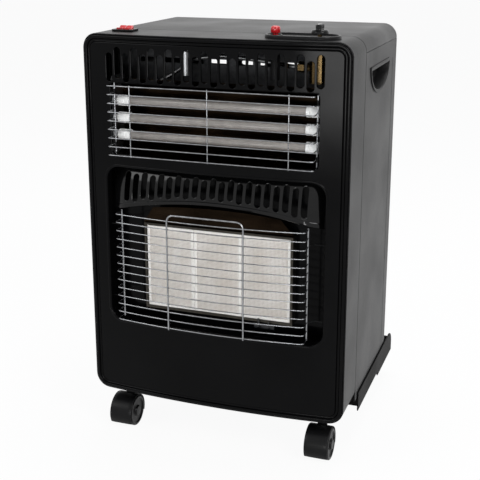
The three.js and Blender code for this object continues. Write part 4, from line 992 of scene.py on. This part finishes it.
COVER_HALF, COVER_LOW, COVER_HIGH = 0.194, 0.0623, 0.633
COVER_BEND, COVER_EDGE, COVER_BACK = 0.022, 0.0092, heater_y(0.3701)
PAN_SECTION = [
    (0, 314.4), (0, 360), (-0.6, 362.6), (-2.2, 363.9), (-4, 364.2), (-4.9, 365.4), (-5.2, 368.6),
    (-6.2, 371), (-8.6, 372), (-9.6, 372), (-9.6, 370.2), (-8.2, 369.6), (-7, 366.8), (-5.6, 362.4),
    (-2.6, 361.4), (-2, 359), (-2, 314.4),
]
FLANGE_SECTION = [
    (-0.6, 314.4), (7.2, 314.4), (8, 315), (8, 315.8), (7.2, 316.3), (0.8, 316.3), (-0.6, 317.4),
]
FLANGE_LOW = 0.094
VENT_LEVELS = (0.573, 0.549, 0.15, 0.126)
VENT_COUNT, VENT_PITCH, VENT_HALF, VENT_HEIGHT = 5, 0.062, 0.023, 0.008


def cover_path(grow, low, runs=8):
    half, high, bend = COVER_HALF + grow, COVER_HIGH + grow, COVER_BEND + grow
    right = [(half, low + (high - bend - low) * i / runs) for i in range(runs)]
    right += swept_arc(half - bend, high - bend, bend, 0, 0.5, 10)
    level = [((half - bend) * (1 - 2 * i / runs), high) for i in range(1, runs)]
    return right + level + [(-x, z) for x, z in reversed(right)]


def pressed_rim(section, low):
    paths = [[(x, heater_y(y), z) for x, z in cover_path(grow, low)] for grow, y in millimetres(section)]
    return skinned([list(station) for station in zip(*paths)], capped=True, crease=40)


def cover_back():
    half, high, bend = COVER_HALF - COVER_EDGE, COVER_HIGH - COVER_EDGE, COVER_BEND - COVER_EDGE
    rim = [(half, COVER_LOW + 0.0005)] + swept_arc(half - bend, high - bend, bend, 0, 0.5, 8)
    rim += [(-x, z) for x, z in reversed(rim)]
    vents = []
    for z in VENT_LEVELS:
        for i in range(VENT_COUNT):
            x = (i - (VENT_COUNT - 1) / 2) * VENT_PITCH
            vents.append([(v, u) for u, v in slot_points(z, x - VENT_HALF, x + VENT_HALF, VENT_HEIGHT, 6)])
    back = plate(rim, vents, COVER_BACK, 0.0019, 0.0006, FACING_BACK)
    back.flip_normals()
    return back


cover = joined(pressed_rim(PAN_SECTION, COVER_LOW), pressed_rim(FLANGE_SECTION, FLANGE_LOW), cover_back())
piece("rear_cover_pressing", cover, powder_coat, "satin_black_steel", "rear_cover", "rear_cover")

# ---------- casters ----------
# Twin-wheel casters: a smooth moulded hood over two dished wheels, on a zinc plated stem.
# Each is drawn round its own stem and then put in its place.

caster_black = speckled(
    "caster plastic", (0.003, 0.003, 0.0032), (0.0065, 0.0065, 0.0068), (0.3, 0.42), 900, 0.12,
    (0.12, 0.00012),
)
WHEEL_R, TRAIL = 0.025, 0.015
HOOD_START, HOOD_TURN = -0.12, 1.29
HOOD_SECTION = [
    (26.8, -18.2), (27.2, -19), (27.9, -18.8), (28.4, -17.6), (28.6, -12),
    (28.6, 12), (28.4, 17.6), (27.9, 18.8), (27.2, 19), (26.8, 18.2),
]
WEB_R = 27.7
WEB_FOOT = [(-8, -8), (0, -10), (8, -8)]
BOSS_SECTION = [
    (5.6, 45), (6.6, 45), (7.6, 47.5), (8, 50), (8, 55.3), (7.4, 56), (6.2, 56), (5.6, 55.4), (5.6, 45),
]
WHEEL_SECTION = [
    (0.003, 3.2), (22, 3.2), (24.4, 3.5), (25, 4.4), (25, 17.4), (24.6, 18.6), (23.6, 19.3), (21.4, 19.5),
    (20.6, 19), (19.6, 17.6), (12, 17.2), (9.6, 17.8), (8.6, 19.6), (7.6, 21), (3, 21.2), (0, 21.2),
]
AXLE_SECTION = [(0, -4.6), (3, -4.6), (3, 4.6), (0, 4.6)]
AXLE_HOLE, WEB_THICK = 0.0038, 0.0052
STEM_LOW, FRONT_STEM_TOP, REAR_STEM_TOP = 0.049, 0.0747, 0.0597


def caster_cover():
    stations = []
    for u, v in swept_arc(0, 0, 1, HOOD_START, HOOD_TURN, 44):
        stations.append([(x, r * u - TRAIL, WHEEL_R + r * v) for r, x in millimetres(HOOD_SECTION)])
    web = swept_arc(0, 0, WEB_R, HOOD_START, HOOD_TURN, 36) + WEB_FOOT
    web = [(y - TRAIL, WHEEL_R + z) for y, z in millimetres(web)]
    hole = disc(-TRAIL, WHEEL_R, AXLE_HOLE)
    centre = plate(web, [hole], -WEB_THICK / 2, WEB_THICK, 0.0006, FACING_SIDE)
    boss = turned(millimetres(BOSS_SECTION), (0, 0, 0), sides=36)
    return joined(skinned(stations, capped=True, crease=50), centre, boss)


def caster_wheels():
    hub = (0, -TRAIL, WHEEL_R)
    right = turned(millimetres(WHEEL_SECTION), hub, "X", 56, 40)
    return joined(right, mirrored(right), turned(millimetres(AXLE_SECTION), hub, "X", 20))


def caster_stem(top):
    rising = [(0, STEM_LOW), (0.004, STEM_LOW), (0.0046, STEM_LOW + 0.0006)]
    collar = [(4.6, -3), (7.6, -3), (8, -2.6), (8, -0.4), (7.6, 0), (5.2, 0), (5.2, 7.4), (4.6, 8), (0, 8)]
    return turned(rising + [(r, top + z) for r, z in millimetres(collar)], (0, 0, 0), sides=28)


for end, y, top in (("front", CASTER_FRONT, FRONT_STEM_TOP), ("rear", CASTER_REAR, REAR_STEM_TOP)):
    for side, x in (("left", -CASTER_X), ("right", CASTER_X)):
        spot = Matrix.Translation((x, heater_y(y), 0))
        corner = f"{end}_{side}"
        stem, cover, wheels = caster_stem(top), caster_cover(), caster_wheels()
        for mesh in (stem, cover, wheels):
            mesh.transform(spot)
        piece(f"caster_stem_{corner}", stem, zinc_plate, "zinc_steel", "cabinet", f"caster_stem_{corner}")
        hood, pair = f"caster_hood_{corner}", f"caster_wheels_{corner}"
        piece(f"caster_cover_{corner}", cover, caster_black, "caster_plastic", hood, hood)
        piece(f"caster_wheel_pair_{corner}", wheels, caster_black, "caster_plastic", pair, pair)

# ---------- controls ----------
# On the top's front right a stadium bezel holds the gas knob and the red igniter button. On the
# left a small bezel holds two red rocker switches, one for each pair of elements.

DARK_GREY, FINE_SKIN = (0.007, 0.007, 0.0073), (0.05, 0.0001)
gloss_plastic = speckled(
    "gloss black plastic", (0.003, 0.003, 0.0033), DARK_GREY, (0.16, 0.28), 600, 0.16, FINE_SKIN
)
bezel_plastic = speckled(
    "satin black bezel", (0.003, 0.003, 0.0032), DARK_GREY, (0.26, 0.36), 1100, 0.14, (0.08, 0.0001)
)
red_plastic = speckled(
    "red plastic", (0.42, 0.006, 0.01), (0.55, 0.012, 0.016), (0.14, 0.26), 500, 0.55, FINE_SKIN
)
pointer_paint = speckled("pointer paint", (0.72, 0.72, 0.7), (0.84, 0.84, 0.82), (0.4, 0.55), 900)
KNOB_X, IGNITER_X, CONTROLS_Y = 0.152, 0.086, heater_y(0.032)
BEZEL_X, BEZEL_WIDTH, BEZEL_DEPTH = 0.127, 0.112, 0.054
BEZEL_TOP = TOP + 0.005
KNOB_Z = BEZEL_TOP + 0.0016
BEZEL_SECTION = [
    (1.5, 0.3), (0, 0.3), (0, 3.8), (0.3, 4.6), (1.1, 5), (3, 5), (3.7, 4.7), (4, 4), (4.1, 2.6), (4.8, 2),
]
SKIRT_SECTION = [
    (3.6, 0), (11.8, 0), (12.5, 0.6), (12.5, 2.9), (12.2, 3.7), (11.2, 5.2), (9.8, 6), (8, 6.5), (0, 6.5),
]
GRIP_SECTION = [(-0.9, 5.8), (-0.2, 6.8), (0.1, 8), (0.2, 12.5), (0.5, 13.5), (1.2, 14.1), (2, 14.2)]
BUTTON_SECTION = [
    (0, -12), (4.2, -12), (4.2, 0), (6.6, 0), (7, 0.4), (7, 6.2),
    (6.7, 7.4), (6, 8.4), (4.8, 9.2), (2.8, 9.8), (0, 10),
]
COLLAR_SECTION = [
    (7.4, 1.6), (10.2, 1.6), (10.4, 2), (10.2, 3.4), (9.6, 4), (8.8, 4), (8.2, 3.4), (8, 2.4),
]


def stadium(width, depth):
    radius, reach = depth / 2, (width - depth) / 2
    right = swept_arc(reach, 0, radius, -0.5, 1, 20)
    return [(BEZEL_X + side * x, CONTROLS_Y + side * y) for side in (1, -1) for x, y in right]


def bezel():
    rows = []
    for inset, z in millimetres(BEZEL_SECTION):
        rim = stadium(BEZEL_WIDTH - 2 * inset, BEZEL_DEPTH - 2 * inset)
        rows.append([(u, v, TOP + z) for u, v in rim])
    holes = [disc(x, CONTROLS_Y, 0.0074, 32) for x in (KNOB_X, IGNITER_X)]
    floor_plate = plate(stadium(0.1035, 0.0455), holes, TOP + 0.0004, 0.0017, 0.0003, FLAT)
    return joined(skinned(rows, crease=60), floor_plate)


def on_knob(mesh):
    mesh.transform(Matrix.Translation((KNOB_X, CONTROLS_Y, KNOB_Z)))
    return mesh


def knob():
    rows = []
    for inset, z in millimetres(GRIP_SECTION):
        rim = outline(0.004 - inset, -0.0115 + inset, 0.0115 - inset, 0.0035 - inset, 8, 2)
        rows.append([(u, v, z) for u, v in rim])
    parts = [turned(millimetres(SKIRT_SECTION), (0, 0, 0), sides=64), skinned(rows, capped=True, crease=50)]
    for low_x in (-0.0042, 0.0037):
        for i in range(7):
            y = (i - 3) * 0.0026
            parts.append(block((low_x, y - 0.0006, 0.0072), (low_x + 0.0005, y + 0.0006, 0.0128), 0.0002, 1))
    return on_knob(joined(*parts))


piece("control_bezel_ring", bezel(), bezel_plastic, "black_plastic", "cabinet", "control_bezel")
piece("gas_knob_moulding", knob(), gloss_plastic, "black_plastic", "gas_knob", "gas_knob")
pointer = on_knob(block((-0.0007, -0.0096, 0.014), (0.0007, -0.0035, 0.0145), 0.0001, 1))
piece("knob_pointer", pointer, pointer_paint, "black_plastic", "gas_knob")
button = turned(millimetres(BUTTON_SECTION), (IGNITER_X, CONTROLS_Y, BEZEL_TOP + 0.0015), sides=48, crease=45)
piece("igniter_cap", button, red_plastic, "red_plastic", "igniter_button", "igniter_button")
collar = turned(millimetres(COLLAR_SECTION), (IGNITER_X, CONTROLS_Y, TOP), sides=48)
piece("igniter_collar", collar, gloss_plastic, "black_plastic", "cabinet")

SWITCH_X, SWITCH_Y = -0.16, heater_y(0.044)
ROCKER_SHIFT = 0.0057
ROCKER_SIDE = [
    (-7.8, -3.5), (-3, -7), (3, -7), (7.8, -1), (7.8, 5.2), (7.3, 5.8), (6.2, 5.1), (3.6, 3.2),
    (1.4, 2), (0, 1.6), (-1.8, 1.9), (-4.4, 2.7), (-7.2, 3.5), (-7.8, 3.2),
]
SWITCH_WALLS = [
    ((-0.5, -9.2, -2), (0.5, 9.2, 2.6)), ((-13.5, -10.5, -24), (-11.5, 10.5, 1)),
    ((11.5, -10.5, -24), (13.5, 10.5, 1)), ((-11.5, -10.5, -24), (11.5, -9, 1)),
    ((-11.5, 9, -24), (11.5, 10.5, 1)), ((-11.5, -9, -24), (11.5, 9, -12.2)),
]
ROCKER_STATIONS = [(-5.2, 0.4), (-4.9, 0.1), (-4.6, 0), (4.6, 0), (4.9, 0.1), (5.2, 0.4)]


def switch_frame():
    rim = outline(0.017, SWITCH_Y - 0.014, SWITCH_Y + 0.014, 0.003, 6, 2, centre=SWITCH_X)
    hole = outline(0.0117, SWITCH_Y - 0.0092, SWITCH_Y + 0.0092, 0.0008, 3, 2, centre=SWITCH_X)
    parts = [plate(rim, [hole], TOP + 0.0003, 0.003, 0.0007, FLAT)]
    for ends in SWITCH_WALLS:
        low, high = [Vector(end) / 1000 + Vector((SWITCH_X, SWITCH_Y, TOP)) for end in ends]
        parts.append(block(low, high, 0.0002, 1))
    return joined(*parts)


def rocker_cap(x):
    rows = []
    for across, inset in ROCKER_STATIONS:
        side = [(u * (1 - inset / 8), v - (inset if v > 0 else 0)) for u, v in ROCKER_SIDE]
        rows.append([(x + across / 1000, SWITCH_Y + u, TOP + 0.002 + v) for u, v in millimetres(side)])
    return skinned(rows, capped=True, crease=45)


piece("switch_frame", switch_frame(), gloss_plastic, "black_plastic", "cabinet", "switch_bezel")
for word, shift in (("left", -ROCKER_SHIFT), ("right", ROCKER_SHIFT)):
    cap = rocker_cap(SWITCH_X + shift)
    piece(f"rocker_cap_{word}", cap, red_plastic, "red_plastic", f"rocker_{word}", f"rocker_{word}")

# ---------- gas valve train ----------
# Inside the cabinet, seen through the front's louvres: a brass valve under the knob, the piezo
# igniter, a bent aluminium pipe to the burner and the brass hose nozzle at the rear.

# The brass is darkened far below bare brass: painted shade for the valve in the dim cabinet behind the
# louvres. The hose nozzle takes the same dark brass.
brass = metal("turned brass", (0.1, 0.066, 0.028), (0.16, 0.11, 0.05), (0.18, 0.32), 160, stretch=(1, 1, 6))
drawn_aluminium = metal("drawn aluminium", (0.3, 0.305, 0.31), (0.42, 0.425, 0.43), (0.2, 0.34), 90)
NOZZLE_START, NOZZLE_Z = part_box("gas_inlet")[0][1], 0.604
NOZZLE_SECTION = [
    (0, 0), (10.4, 0), (11, 0.6), (11, 6.4), (10.4, 7), (6.8, 7), (6.8, 17.8), (5, 20),
    (6.2, 25.6), (5, 28), (6.2, 33.6), (4.4, 39.6), (3.8, 40), (0, 40),
]
PIPE_R = 0.0032
OUTLET_Z, MIXER_Z = KNOB_Z - 0.048, 0.29
PIPE_ROUTE = [
    (0.1217, 0.032, OUTLET_Z), (0.113, 0.032, OUTLET_Z), (0.096, 0.046, OUTLET_Z),
    (0.06, 0.05, OUTLET_Z + 0.004), (0, 0.053, OUTLET_Z + 0.009), (-0.052, 0.056, OUTLET_Z + 0.002),
    (-0.084, 0.06, OUTLET_Z - 0.022),
    (-0.15, 0.066, 0.56), (-0.186, 0.066, 0.48), (-0.186, 0.062, 0.33), (-0.178, 0.048, MIXER_Z),
    (-0.1388, 0.048, MIXER_Z),
]
dressed(brass, "gas_valve", "valve_spindle")
dressed(moulded, "piezo_igniter")
nozzle = turned(millimetres(NOZZLE_SECTION), (KNOB_X, NOZZLE_START, NOZZLE_Z), "Y", 40)
piece("hose_nozzle", nozzle, brass, "brass", "cabinet", "gas_inlet")
pipe_path = rounded_path([(x, heater_y(y), z) for x, y, z in PIPE_ROUTE], 0.016, 6)
pipe = wires(pipe_path, PIPE_R, finish=drawn_aluminium)
piece("supply_pipe", pipe, drawn_aluminium, "aluminium_tube", "cabinet", "gas_pipe")
